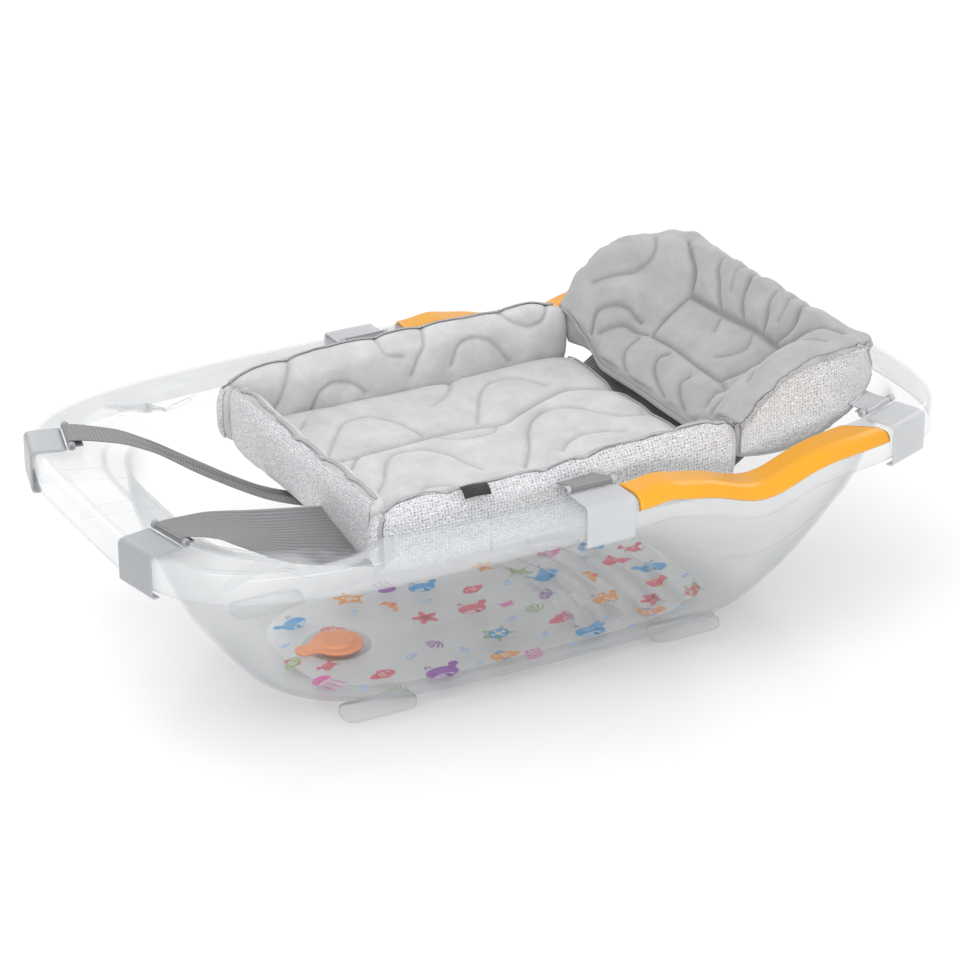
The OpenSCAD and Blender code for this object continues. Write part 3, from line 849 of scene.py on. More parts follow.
# Blobs of a motif: middle (x, y), half axes, turn in degrees, number of lobes and their depth, ink.
MOTIFS = {
    "whale": [
        (0, 0, 13.5, 8.6, -6, 0, 0, "main"), (11, 3.2, 6.5, 2.8, 36, 0, 0, "main"),
        (14.4, 8.4, 3.6, 1.7, 10, 0, 0, "main"),
        (17.2, 6.6, 3.4, 1.7, 70, 0, 0, "main"), (-2, -5.2, 9.0, 3.0, -4, 0, 0, "light"),
        (2, -6.4, 2.0, 3.4, 30, 0, 0, "dark"),
        (-7.5, 1.6, 1.0, 1.0, 0, 0, 0, "black"), (-4, 12, 0.7, 2.6, 18, 0, 0, "dark"),
        (-7, 12, 0.7, 2.6, -18, 0, 0, "dark"),
    ],
    "fish": [
        (0, 0, 10.5, 7.0, 0, 0, 0, "main"), (11.6, 0, 3.9, 4.3, 0, 3, 0.3, "main"),
        (0.5, 6.6, 4.6, 1.8, 8, 0, 0, "accent"),
        (1, -6.2, 3.2, 1.5, -14, 0, 0, "accent"), (1.5, 0, 1.3, 5.4, 6, 0, 0, "light"),
        (5, 0, 1.1, 4.2, 6, 0, 0, "light"),
        (-5.2, 1.4, 1.4, 1.4, 0, 0, 0, "white"), (-5.4, 1.4, 0.7, 0.7, 0, 0, 0, "black"),
    ],
    "star": [(0, 0, 9, 9, 18, 5, 0.38, "main"), (0, 0, 4.5, 4.5, 18, 5, 0.3, "dark"),
             (-1.6, 0.8, 0.6, 0.6, 0, 0, 0, "black"), (1.6, 0.8, 0.6, 0.6, 0, 0, 0, "black")],
    "turtle": [
        (-11, 2, 4.2, 3.2, 10, 0, 0, "main"), (-6, -7, 5.6, 2.0, 62, 0, 0, "main"),
        (-5, 8, 5.6, 2.0, -58, 0, 0, "main"),
        (9, -5, 3.6, 1.6, -35, 0, 0, "main"), (9, 6, 3.6, 1.6, 35, 0, 0, "main"),
        (0, 0, 10, 7.6, 4, 0, 0, "accent"),
        (0, 0, 3.2, 2.8, 0, 6, 0.08, "light"), (-5.5, 1, 2.0, 2.2, 0, 0, 0, "light"),
        (5.5, 0, 2.0, 2.2, 0, 0, 0, "light"),
        (0.5, 5, 2.4, 1.3, 0, 0, 0, "light"), (0, -5, 2.4, 1.3, 0, 0, 0, "light"),
        (-12.6, 2.8, 0.7, 0.7, 0, 0, 0, "black"),
    ],
    "jelly": [
        (0, 6, 11, 7.5, 0, 0, 0, "main"), (0, 1.5, 10.6, 2.6, 0, 9, 0.16, "light"),
        (-8, -8, 0.9, 8, 8, 0, 0, "main"),
        (-4, -10, 0.9, 10, -6, 0, 0, "light"), (0, -9, 0.9, 9, 5, 0, 0, "main"),
        (4, -10, 0.9, 10, -7, 0, 0, "light"),
        (8, -8, 0.9, 8, 10, 0, 0, "main"), (-3, 6.5, 0.8, 0.8, 0, 0, 0, "black"),
        (3, 6.5, 0.8, 0.8, 0, 0, 0, "black"),
    ],
    "weed": [
        (-7, 0, 0.9, 6, 38, 0, 0, "main"), (-3.6, 1.5, 0.9, 7.4, 18, 0, 0, "main"),
        (0, 2.4, 0.9, 8.4, 0, 0, 0, "main"),
        (3.6, 1.5, 0.9, 7.4, -18, 0, 0, "main"), (7, 0, 0.9, 6, -38, 0, 0, "main"),
        (-5.4, 4, 0.7, 2.6, 70, 0, 0, "main"),
        (5.4, 4, 0.7, 2.6, -70, 0, 0, "main"), (-1.6, 7, 0.7, 2.4, 52, 0, 0, "main"),
        (1.8, 8, 0.7, 2.4, -52, 0, 0, "main"),
    ],
    "seahorse": [
        (-3.6, 8.6, 4.4, 1.5, -8, 0, 0, "main"), (0, 8.6, 3.6, 3.4, 0, 0, 0, "main"),
        (1.6, 3.6, 3.4, 4.4, 10, 0, 0, "main"),
        (0.6, -1.4, 4.2, 4.0, 0, 0, 0, "main"), (1.8, -6, 2.6, 3.6, 20, 0, 0, "main"),
        (0, -10, 2.2, 2.6, 60, 0, 0, "main"),
        (-3, -10.4, 2.0, 1.5, 0, 0, 0, "main"), (5.4, 1.4, 2.2, 3.6, 0, 4, 0.2, "accent"),
        (-1, 9, 0.7, 0.7, 0, 0, 0, "black"),
    ],
    "crab": [
        (0, 0, 9, 6.4, 0, 0, 0, "main"), (-10, 5, 3.6, 2.6, 40, 3, 0.2, "main"),
        (10, 5, 3.6, 2.6, -40, 3, 0.2, "main"),
        (-9, -4, 3.4, 0.9, 24, 0, 0, "main"), (9, -4, 3.4, 0.9, -24, 0, 0, "main"),
        (-7, -6.4, 3.0, 0.9, 50, 0, 0, "main"),
        (7, -6.4, 3.0, 0.9, -50, 0, 0, "main"), (-3, 2.6, 1.3, 1.3, 0, 0, 0, "white"),
        (3, 2.6, 1.3, 1.3, 0, 0, 0, "white"),
        (-3, 2.6, 0.7, 0.7, 0, 0, 0, "black"), (3, 2.6, 0.7, 0.7, 0, 0, 0, "black"),
    ],
    "bubbles": [
        (0, 0, 3.6, 3.6, 0, 0, 0, "main"), (5, 1.6, 2.4, 2.4, 0, 0, 0, "main"),
        (-0.9, 1, 1.0, 1.0, 0, 0, 0, "white")
    ],
}
# Where each motif lies on the film: kind, place, turn in degrees, scale, mirrored, main ink, accent ink.
PRINT = [
    ("whale", -185, 60, 25, 1.0, True, "blue", "blue"),
    ("fish", -160, 31, 160, 0.85, True, "coral", "orange"),
    ("fish", -222, -13, 40, 0.9, True, "green", "coral"),
    ("jelly", -212, -66, 25, 0.95, False, "pink", "pink"),
    ("seahorse", -84, 48, 10, 0.9, False, "orange", "coral"),
    ("turtle", -113, 82, -30, 1.0, False, "orange", "orange"),
    ("fish", -155, -77, 10, 0.95, True, "coral", "pink"),
    ("weed", -159, -113, 0, 0.9, False, "green", "green"),
    ("weed", -82, -45, 120, 0.9, False, "purple", "purple"),
    ("star", -65, 9, 0, 1.05, False, "coral", "coral"),
    ("whale", -105, -101, 8, 1.15, False, "purple", "purple"),
    ("whale", -15, 4, 4, 1.0, False, "coral", "coral"),
    ("fish", 4, 41, 15, 0.85, False, "coral", "coral"), ("fish", -38, -99, -4, 1.05, False, "orange", "blue"),
    ("weed", -7, -112, 40, 1.1, False, "pink", "pink"),
    ("turtle", -18, -56, 14, 1.05, False, "green", "blue"),
    ("weed", 40, -28, 5, 1.0, False, "green", "green"), ("weed", 66, -8, 30, 0.9, False, "purple", "purple"),
    ("whale", 113, -42, 12, 0.95, False, "orange", "orange"),
    ("fish", 55, -58, 8, 1.0, True, "coral", "pink"),
    ("whale", 64, -95, 4, 1.05, False, "blue", "blue"), ("fish", 135, -88, -8, 1.0, False, "orange", "blue"),
    ("star", 153, -66, 12, 1.0, False, "coral", "coral"),
    ("fish", 175, -35, 10, 0.95, False, "coral", "orange"),
    ("turtle", 198, -70, 40, 0.85, True, "green", "coral"), ("whale", 192, -4, 0, 1.0, True, "blue", "blue"),
    ("fish", 163, 27, -8, 1.0, False, "coral", "coral"),
    ("seahorse", 125, 9, -14, 0.95, False, "orange", "coral"),
    ("whale", 88, 33, 24, 1.05, True, "blue", "blue"), ("crab", 194, 43, 0, 0.9, False, "coral", "coral"),
    ("whale", 160, 68, 0, 0.95, False, "blue", "blue"), ("fish", 112, 75, 6, 0.95, False, "pink", "pink"),
    ("whale", -37, 70, 0, 0.95, False, "blue", "blue"),
    ("jelly", -70, 88, 180, 0.8, False, "purple", "purple"),
    ("crab", -196, -36, 30, 0.8, False, "coral", "coral"),
    ("star", 40, 82, 0, 0.9, False, "orange", "orange"),
    ("turtle", 66, 52, 160, 0.85, False, "green", "green"), ("crab", 20, -4, 0, 0.6, False, "pink", "pink"),
    ("bubbles", -216, 22, 0, 1, False, "bubble", "bubble"),
    ("bubbles", -124, 52, 30, 1, False, "bubble", "bubble"),
    ("bubbles", -187, -94, 60, 1, False, "bubble", "bubble"),
    ("bubbles", -117, -58, 10, 1, False, "bubble", "bubble"),
    ("bubbles", -49, 41, 0, 1, False, "bubble", "bubble"),
    ("bubbles", -64, -72, 80, 1, False, "bubble", "bubble"),
    ("bubbles", -66, -103, 20, 0.9, False, "bubble", "bubble"),
    ("bubbles", 8, -34, 0, 1, False, "bubble", "bubble"),
    ("bubbles", 20, -80, 30, 1, False, "bubble", "bubble"),
    ("bubbles", 34, -112, 0, 0.9, False, "bubble", "bubble"),
    ("bubbles", 44, 37, 50, 1, False, "bubble", "bubble"),
    ("bubbles", 92, -77, 0, 1, False, "bubble", "bubble"),
    ("bubbles", 102, -106, 0, 0.9, False, "bubble", "bubble"),
    ("bubbles", 168, -96, 0, 0.9, False, "bubble", "bubble"),
    ("bubbles", 208, -39, 0, 0.9, False, "bubble", "bubble"),
    ("bubbles", 140, 48, 0, 1, False, "bubble", "bubble"),
]


class BATHTUB_OT_film(Operator):
    """Make the printed film on the tub's floor"""

    bl_idname = "bathtub.film"
    bl_label = "Printed floor film"

    def execute(self, context):
        inks = context.scene.bathtub_print
        self.film(inks)
        self.motifs(inks)
        return {"FINISHED"}

    def film(self, inks):
        """Rings from the plug's edge out to the film's outline, found along each direction by
        halving the interval in which the outline is crossed."""
        turn = np.linspace(0, 2 * np.pi, 240, endpoint=False)
        low, high = np.full(240, 34.0), np.full(240, 420.0)
        for _ in range(24):
            middle = (low + high) / 2
            x, y = DRAIN_X + middle * np.cos(turn) + 4, middle * np.sin(turn)
            inside = np.abs(x / 222) ** 3.3 + np.abs(y / 108) ** 3.3 < 1
            low, high = np.where(inside, middle, low), np.where(inside, high, middle)
        share = np.linspace(0, 1, 110)[:, None]
        r = 34 + (low - 34) * share
        x, y = DRAIN_X + r * np.cos(turn), r * np.sin(turn)
        top = np.stack([x, y, film_height(x, y)], -1) * MM
        mesh = settle(new_mesh("floor_film", *shell_between(top, top - [0, 0, 0.25 * MM], wrap=True)))
        film = material_named("clear_vinyl_film", clear_polypropylene, inks.film, body=0.20, edge=0.40)
        add_piece("floor_film", mesh, film, replaces=["floor_decal"])

    def motifs(self, inks):
        """Every blob is a fan of two rings whose radius is an ellipse times 1 + depth x cos(lobes)."""
        turn = np.linspace(0, 2 * np.pi, 28, endpoint=False)
        points, faces, colours, start = [], [], [], 0
        ring = np.arange(28)
        for kind, px, py, degrees, scale, mirrored, main, accent in PRINT:
            base, second = np.array(getattr(inks, main)), np.array(getattr(inks, accent))
            palette = {
                "main": base, "accent": second, "light": base * 0.5 + 0.5, "dark": base * 0.62,
                "white": np.ones(3), "black": np.full(3, 0.03),
            }
            spin = math.radians(degrees)
            for layer, (bx, by, a, b, tilt, lobes, depth, ink) in enumerate(MOTIFS[kind]):
                tilt = math.radians(tilt)
                r = 1 + (depth * np.cos(lobes * turn) if lobes else 0)
                u, v = a * r * np.cos(turn), b * r * np.sin(turn)
                x = bx + u * math.cos(tilt) - v * math.sin(tilt)
                y = by + u * math.sin(tilt) + v * math.cos(tilt)
                x, y, bx = (-x, y, -bx) if mirrored else (x, y, bx)
                x, y = np.append(x, bx) * scale * 1.12, np.append(y, by) * scale * 1.12
                wx = px + x * math.cos(spin) - y * math.sin(spin)
                wy = py + x * math.sin(spin) + y * math.cos(spin)
                z = film_height(wx, wy) + 0.12 + 0.03 * layer
                points.append(np.stack([wx, wy, z], -1) * MM)
                fan = np.stack([ring, np.roll(ring, -1), np.full(28, 28)], -1) + start
                faces.append(fan[:, ::-1] if mirrored else fan)
                colours.append(np.tile([*palette[ink], 1.0], (29, 1)))
                start += 29
        mesh = new_mesh("film_motifs", np.concatenate(points), faces)
        attribute = mesh.color_attributes.new("ink", "FLOAT_COLOR", "POINT")
        attribute.data.foreach_set("color", np.concatenate(colours).astype(np.float32).ravel())
        mesh.shade_smooth()
        ink = material_named("screen_printed_ink", printed_ink)
        add_piece("film_motifs", mesh, ink)


# --------------------------------------------------------------------------
# Plug and grips


class BATHTUB_OT_plug(Operator):
    """Make the soft drain plug with its round cap and pull tab"""

    bl_idname = "bathtub.plug"
    bl_label = "Drain plug"

    def execute(self, context):
        peach = material_named("peach_soft_rubber", soft_rubber, context.scene.bathtub_fittings.plug_peach)
        turn = np.linspace(0, 2 * np.pi, 160, endpoint=False)
        away = np.abs(np.angle(np.exp(1j * (turn - np.pi))))
        # The tab widens the outline: a capsule 44 mm out and 8.5 mm to each side of its axis.
        tab = np.minimum(
            44.5 * bell(away / 0.62) + 9 * (1 - bell(away / 0.62)),
            8.5 / np.maximum(np.sin(np.minimum(away, 1.5)), 0.19)
        )
        outline = (26**8 + tab**8) ** (1 / 8)
        # Height of the face at shares of the outline: flat middle with a raised ring, rolled edge.
        section = [(16.4, 3), (16.4, 9.6), (16.4, 10.3)]
        under = [(s, 10.35) for s in (0.72, 0.97)] + [(1.0, 11.3)]
        over = [(1.0, 12.9), (0.975, 13.7), (0.93, 13.95), (0.80, 13.95)]
        knob = [
            (17.0, 14.0), (16.9, 16.2), (16.2, 16.95), (15.0, 16.95), (13.6, 16.1), (12.0, 15.9),
            (5.0, 15.9)
        ]
        rows = [np.stack([np.full(160, r), np.full(160, z)], -1) for r, z in section]
        rows += [np.stack([np.maximum(outline * s, 17.0), np.full(160, z)], -1) for s, z in under + over]
        rows += [np.stack([np.full(160, r), np.full(160, z)], -1) for r, z in knob]
        rows = np.array(rows)
        grid = np.stack(
            [DRAIN_X + rows[..., 0] * np.cos(turn), rows[..., 0] * np.sin(turn), rows[..., 1]], -1
        ) * MM
        ring, count = np.arange(160), grid.shape[0] * 160
        points = np.concatenate([grid.reshape(-1, 3), np.array([[DRAIN_X, 0, 3], [DRAIN_X, 0, 15.9]]) * MM])
        caps = [
            np.stack([ring, np.roll(ring, -1), np.full(160, count)], -1),
            np.stack([np.roll(ring, -1) + count - 160, ring + count - 160, np.full(160, count + 1)], -1),
        ]
        mesh = settle(new_mesh("drain_plug_soft", points, [grid_faces(len(rows), 160, True), *caps]))
        add_piece("drain_plug_soft", mesh, peach, "plug", ["drain_plug"])
        return {"FINISHED"}


class BATHTUB_OT_grips(Operator):
    """Make the two amber grips that cover the dip of the rim"""

    bl_idname = "bathtub.grips"
    bl_label = "Amber grips"

    def execute(self, context):
        fittings = context.scene.bathtub_fittings
        amber = material_named(
            "amber_moulded_polypropylene", moulded_plastic, fittings.grip_amber, 0.34, 0.25
        )
        station = np.linspace(12.0, 18.06, 64)
        share = np.linspace(0, 1, 130)
        for side, name in ((-1, "near"), (1, "far")):
            turn = side * np.radians(36 + 48 * share)[None, :]
            # Thickness falls to nothing over the last 3 mm of each edge in a quarter circle.
            r, z = shell_middle(station, turn, shell_settings())
            across = np.hypot(np.gradient(r, axis=0), np.gradient(z, axis=0)).cumsum(0)
            along = np.abs(np.gradient(r * np.cos(turn), axis=1)).cumsum(1)
            edge = np.minimum(
                np.minimum(across, across[-1:] - across), np.minimum(along, along[:, -1:] - along)
            )
            rounded = np.sqrt(1 - (1 - np.clip(edge / 3.0, 0, 1)) ** 2)
            thickness = fittings.grip_thickness / MM * rounded
            lower = shell_face(station, turn, SKIN + 0.15, shell_settings())
            upper = shell_face(station, turn, SKIN + 0.15 + thickness, shell_settings())
            mesh = settle(new_mesh(f"grip_{name}_amber", *shell_between(upper, lower)))
            add_piece(f"grip_{name}_amber", mesh, amber, replaces=[f"grip_{name}"])
        return {"FINISHED"}


# --------------------------------------------------------------------------
# Clips and straps

# Angle round the rim of each clip's middle; the near side is negative.
CLIPS = {
    "foot_near": (-164, "smoke"), "foot_far": (162, "smoke"), "side_near": (-91.2, "silver"),
    "side_far": (96.6, "silver"), "head_near": (-32.5, "silver"), "head_far": (32.5, "silver"),
}
CLIP_LENGTH, BAR_IN, BAR_Z, BAR_R = 52.0, 36.0, 231.5, 2.0


def rim_frame(degrees):
    """The point of the rim's outline in a direction, its outward heading and its heading along."""
    def at(d):
        t = np.radians(d)
        r = squircle_radius(HALF_L, HALF_W, RIM_SQUARE, t)
        return np.array([r * np.cos(t), r * np.sin(t), 0.0])
    along = at(degrees + 0.5) - at(degrees - 0.5)
    along /= np.linalg.norm(along)
    return at(degrees), np.array([along[1], -along[0], 0.0]), along


class BATHTUB_OT_clips(Operator):
    """Make the six rim clips with the bars that the straps loop round"""

    bl_idname = "bathtub.clips"
    bl_label = "Rim clips"

    def execute(self, context):
        fittings = context.scene.bathtub_fittings
        tones = {
            "silver": material_named(
                "silver_translucent_acetal", moulded_plastic, fittings.clip_silver, 0.3, 0.3, alpha=0.7
            ),
            "smoke": material_named(
                "smoke_translucent_acetal", moulded_plastic, fittings.clip_smoke, 0.3, 0.3, alpha=0.84
            ),
        }
        for place, (degrees, tone) in CLIPS.items():
            point, out, along = rim_frame(degrees)
            mesh = settle(
                new_mesh(
                    f"clip_{place}_band",
                    *join([self.band(point, out, along), *self.bar(point, out, along)])
                )
            )
            add_piece(
                f"clip_{place}_band", mesh, tones[tone], f"clip_{place}", [f"clip_{place}"],
            )
        return {"FINISHED"}

    def band(self, point, out, along):
        """A 2.4 mm band bent along a C: over the flange, round the roll, down the apron and under it.
        Its long edges are rounded by letting the thickness fall in a half circle across the width."""
        corner = np.radians(np.linspace(90, 0, 9))
        lower = np.radians(np.linspace(0, -90, 9))
        middle = np.concatenate([
            np.stack([np.linspace(-31.6, -2.4, 14), np.full(14, 228.2)], -1),
            np.stack([-1.8 + 5.0 * np.cos(corner), 223.2 + 5.0 * np.sin(corner)], -1)[1:],
            np.stack([np.full(8, 3.2), np.linspace(219.5, 192.5, 8)], -1),
            np.stack([-0.8 + 4.0 * np.cos(lower), 191.2 + 4.0 * np.sin(lower)], -1),
            np.array([[-3.0, 187.2], [-5.0, 187.2]]),
        ])
        ahead = np.gradient(middle, axis=0)
        ahead /= np.linalg.norm(ahead, axis=1)[:, None]
        normal = np.stack([-ahead[:, 1], ahead[:, 0]], -1)
        across = np.sin(np.linspace(-np.pi / 2, np.pi / 2, 25)) * CLIP_LENGTH / 2
        rounded = np.sqrt(np.clip(1 - np.clip((np.abs(across) - 24.8) / 1.2, 0, 1) ** 2, 0, 1))
        length = np.linalg.norm(np.diff(middle, axis=0), axis=1).cumsum()
        run = np.concatenate([[0], length])
        ends = np.minimum(run, run[-1] - run)
        tip = np.sqrt(1 - (1 - np.clip(ends / 1.2, 0, 1)) ** 2)
        half = 1.2 * np.minimum(tip[:, None], rounded[None, :])
        faces_of = []
        for sign in (1, -1):
            plane = middle[:, None, :] + sign * half[..., None] * normal[:, None, :]
            world = point + plane[..., :1] * out + across[None, :, None] * along
            world[..., 2] = plane[..., 1]
            faces_of.append(world * MM)
        return shell_between(*faces_of)

    def bar(self, point, out, along):
        """The bar and the two eyes that hold it, each a short closed tube along the rim."""
        centre = point - BAR_IN * out + [0, 0, BAR_Z]
        def rod(reach_from, reach_to, radius, count=8):
            steps = np.linspace(reach_from, reach_to, count)
            return tube((centre + steps[:, None] * along) * MM, radius * MM, 24)
        return [rod(-26, 26, BAR_R), rod(-26, -22.5, 4.0, 3), rod(22.5, 26, 4.0, 3)]


# Each strap: width at the loop, folds across it and how deep they are, and the places that its left
# and right edges pass on the way to the seat.
STRAPS = {
    "foot_near": dict(width=42, folds=1.0, depth=1.6, cloth="net",
        left=[(-352, -90, 232), (-316, -85, 225), (-247, -68, 207), (-200, -58, 194)],
        right=[
            (-352, -136, 226), (-334, -143, 217), (-286, -147, 193), (-232, -149, 178), (-196, -138, 163)
        ]),
    "foot_far": dict(width=38, folds=2.0, depth=2.4, cloth="dark",
        left=[(-345, 122, 232), (-316, 103, 222), (-268, 78, 198), (-220, 51, 174), (-186, 40, 162)],
        right=[(-350, 94, 229), (-322, 82, 219), (-276, 57, 194), (-222, 28, 170), (-186, 14, 160)]),
    "side_near": dict(
        width=42, folds=0.5, depth=0.6, cloth="dark", left=[(-26, -181, 227)], right=[(16, -181, 227)]
    ),
    "side_far": dict(
        width=42, folds=0.5, depth=0.6, cloth="dark", left=[(-7, 181, 227)], right=[(-49, 181, 227)]
    ),
    "head_near": dict(
        width=38, folds=1.0, depth=1.0, cloth="light", left=[(305, -171, 236)], right=[(336, -158, 237)]
    ),
    "head_far": dict(
        width=38, folds=1.0, depth=1.0, cloth="light", left=[(336, 158, 237)], right=[(305, 171, 236)]
    ),
}


def along_path(points, count):
    """Even steps along a smooth curve through the points, eased between them."""
    points = np.asarray(points, float)
    run = np.concatenate([[0], np.linalg.norm(np.diff(points[:, :3], axis=0), axis=1).cumsum()])
    wanted = np.linspace(0, run[-1], count)
    at = np.interp(wanted, run, np.arange(len(run)))
    return eased(points, at)


class BATHTUB_OT_straps(Operator):
    """Make the six straps that hang the seat from the clips"""

    bl_idname = "bathtub.straps"
    bl_label = "Straps"

    def execute(self, context):
        seat = context.scene.bathtub_seat
        cloths = {
            "net": (
                material_named("net_webbing_open", net_webbing, seat.webbing, open_share=0.75),
                "dark_webbing"
            ),
            "dark": (material_named("net_webbing_dark", net_webbing, seat.webbing), "dark_webbing"),
            "light": (material_named("net_webbing_light", net_webbing, seat.light_webbing), "light_webbing"),
        }
        for place, strap in STRAPS.items():
            self.strap(place, strap, *cloths[strap["cloth"]])
        return {"FINISHED"}

    def strap(self, place, strap, material, slot):
        """A band whose two edges run along smooth curves: under the bar, round it, then to the seat.
        Folds are a cosine across the band that grows away from the loop."""
        point, out, along = rim_frame(CLIPS[place][0])
        centre = point - BAR_IN * out + [0, 0, BAR_Z]
        half = strap["width"] / 2
        loop = np.radians(np.array([-90, -55, -20, 15, 50, 80]))
        ring = [(12, -3.1), (5, -3.2)] + [
            (-3.15 * math.cos(t), 3.15 * math.sin(t)) for t in loop
        ] + [(6, 3.0)]
        middle = np.array([centre - inward * out + [0, 0, up] for inward, up in ring])
        left = along_path([*(middle - half * along), *strap["left"]], 110)
        right = along_path([*(middle + half * along), *strap["right"]], 110)
        share = np.linspace(0, 1, 25)[None, :, None]
        grid = left[:, None] * (1 - share) + right[:, None] * share
        reach = np.linspace(0, 1, 110)
        grow = smooth_step((reach - 0.25) / 0.3)[:, None]
        grid[..., 2] += strap["depth"] * grow * np.cos(
            2 * np.pi * strap["folds"] * share[0, :, 0] + 3 * reach[:, None]
        )
        grid[..., 2] -= 1.5 * grow * np.sin(np.pi * np.clip((reach[:, None] - 0.3) / 0.7, 0, 1))
        mesh = new_mesh(f"strap_{place}_band", grid * MM, [grid_faces(110, 25)])
        length = np.linalg.norm(np.diff(grid.mean(1), axis=0), axis=1).sum() * MM
        v = (share[0, :, 0] - 0.5) * strap["width"] * MM
        lay_uv(mesh, np.stack(np.broadcast_arrays(reach[:, None] * length, v[None, :]), -1).reshape(-1, 2))
        mesh.shade_smooth()
        obj = add_piece(f"strap_{place}_band", mesh, material, replaces=[f"strap_{place}"])
        add_modifier(obj, "SOLIDIFY", thickness=1.0 * MM, offset=0)
        bake_modifiers(obj)


# --------------------------------------------------------------------------
# The quilted seat

TRAY_FROM, TRAY_TO, TRAY_HALF, TRAY_TOP, TRAY_BOTTOM, PAD = -212.0, 175.0, 181.0, 240.0, 166.0, 29.0
VOXEL = 0.004
# How far from a sewn line the swell, the cut and the painted shade along the seam reach.
SEAM_REACH, SEAM_CUT, SEAM_SHADE_REACH = 12.0, 2.6, 1.7
# Gap and thickness of the spacer mesh.
MESH_GAP, MESH_THICK = 1.1, 1.4

# Sewn lines on the mattress (x, y), on the inner face of the long walls (x, z) and on the headrest
# (x, y), with how deep each one cuts: 1 is a plain seam.
MATTRESS_SEAMS = [
    (0.8, [(37, 149), (30, 133), (10, 110), (-11, 98)]),
    (1.0, [(9, 37), (28, 70), (48, 102), (69, 121), (92, 123), (106, 108), (117, 88)]),
    (1.0, [(-153, 43), (-138, 64), (-123, 84), (-101, 107), (-79, 109), (-64, 92), (-55, 69), (-51, 38)]),
    (
        2.2,
        [
            (-180, 22), (-128, 29), (-85, 31), (-45, 33), (-6, 32), (26, 26), (60, 42), (98, 61),
            (129, 71), (163, 59), (176, 52)
        ]
    ),
    (1.2, [(-165, -9), (-149, 3), (-133, 23), (-127, 28)]),
    (
        1.0,
        [
            (-158, -65), (-136, -41), (-110, 1), (-94, 14), (-74, 13), (-60, 1), (-49, -18), (-45, -39),
            (-37, -58)
        ]
    ),
    (1.2, [(2, -72), (26, -37), (48, 3), (67, 25), (89, 36), (107, 33), (122, 21), (131, 6)]),
    (0.8, [(-45, 33), (-29, 14), (-5, 9), (11, 10), (26, 26)]),
    (1.0, [(52, -57), (69, -41), (90, -33), (107, -36), (128, -48)]),
    (0.9, [(-122, -88), (-105, -70), (-89, -73), (-70, -90)]),
    (0.9, [(-165, 101), (-149, 111), (-137, 127)]),
    (1.4, [(-176, -92), (-120, -96), (-60, -92), (0, -98), (60, -90), (120, -96), (176, -88)]),
    (0.9, [(-30, -98), (-14, -120), (10, -128), (34, -118), (46, -96)]),
    (0.9, [(96, -94), (112, -116), (136, -122), (158, -108)]),
    (0.9, [(131, 6), (146, -14), (166, -20)]),
]
WALL_SEAMS = [
    (1.0, [(-161, 196), (-152, 206), (-143, 225), (-136, 241)]),
    (1.0, [(-117, 187), (-105, 209), (-91, 215), (-75, 212), (-60, 202), (-55, 196)]),
    (1.0, [(-2, 204), (5, 221), (12, 233), (15, 253)]),
    (1.0, [(43, 206), (52, 227), (67, 231), (86, 225), (100, 211), (110, 197)]),
    (1.0, [(103, 249), (119, 237), (136, 230), (150, 232), (160, 246)]),
    (0.8, [(-40, 250), (-30, 232), (-12, 226)]),
    (0.8, [(-205, 236), (-190, 222), (-178, 204)]),
]
FOOT_WALL_SEAMS = [
    (1.0, [(-150, 200), (-130, 224), (-104, 230), (-84, 214), (-78, 196)]),
    (1.0, [(-48, 250), (-40, 230), (-20, 218), (4, 222), (16, 244)]),
    (1.0, [(40, 196), (56, 216), (82, 224), (104, 212), (112, 194)]),
    (0.8, [(128, 246), (136, 226), (150, 214)]),
]
HEADREST_SEAMS = [
    (2.2, [(283, 84), (284, 24), (286, -32), (284, -80)]),
    (1.6, [(283, 84), (257, 79), (227, 66)]),
    (1.6, [(227, 66), (229, 22), (227, -23), (226, -66)]),
    (1.8, [(283, 84), (297, 99), (305, 120), (317, 142)]),
    (1.6, [(284, -80), (257, -78), (226, -66)]),
    (1.8, [(284, -80), (297, -99), (305, -120), (317, -142)]),
    (1.1, [(205, 148), (229, 134), (247, 129), (262, 131), (275, 140), (286, 158)]),
    (1.1, [(205, -148), (229, -134), (247, -129), (262, -131), (275, -140), (286, -158)]),
    (1.4, [(184, 116), (195, 123), (212, 118), (226, 106), (230, 92)]),
    (1.2, [(190, 108), (215, 98), (225, 71)]),
    (1.4, [(184, -116), (195, -123), (212, -118), (226, -106), (230, -92)]),
    (1.2, [(190, -108), (215, -98), (225, -71)]),
    (1.3, [(284, 28), (299, 56), (311, 74), (324, 80)]),
    (1.3, [(287, -10), (297, 8), (309, 20), (323, 26)]),
    (1.3, [(287, -46), (298, -36), (308, -26), (323, -24)]),
    (1.3, [(286, -70), (300, -78), (312, -72), (325, -66)]),
    (0.8, [(300, 32), (312, 44), (325, 50)]),
    (0.8, [(299, -58), (312, -50), (325, -46)]),
    (0.9, [(285, 23), (266, 9)]),
    (0.9, [(283, -36), (267, -49), (256, -43), (245, -30)]),
    (1.2, [(182, -34), (190, -7), (201, 18), (212, 27), (220, 22)]),
    (1.2, [(182, -72), (191, -48), (203, -30), (213, -30)]),
    (1.0, [(190, -97), (200, -86), (212, -80), (222, -86)]),
    (1.1, [(182, 42), (190, 60), (202, 72), (216, 74)]),
]


def distance_to(points, line):
    """Shortest distance from each of n points to a line of straight legs, all in the same plane."""
    a, b = np.asarray(line[:-1], float), np.asarray(line[1:], float)
    leg = b - a
    best = np.full(len(points), 1e9)
    for start, step in zip(a, leg):
        t = np.clip(((points - start) @ step) / (step @ step), 0, 1)
        best = np.minimum(best, np.linalg.norm(points - start - t[:, None] * step, axis=1))
    return best


def rounded_line(line, per_leg=6):
    """The line with its corners eased."""
    return eased(np.asarray(line, float), np.linspace(0, len(line) - 1, (len(line) - 1) * per_leg + 1))


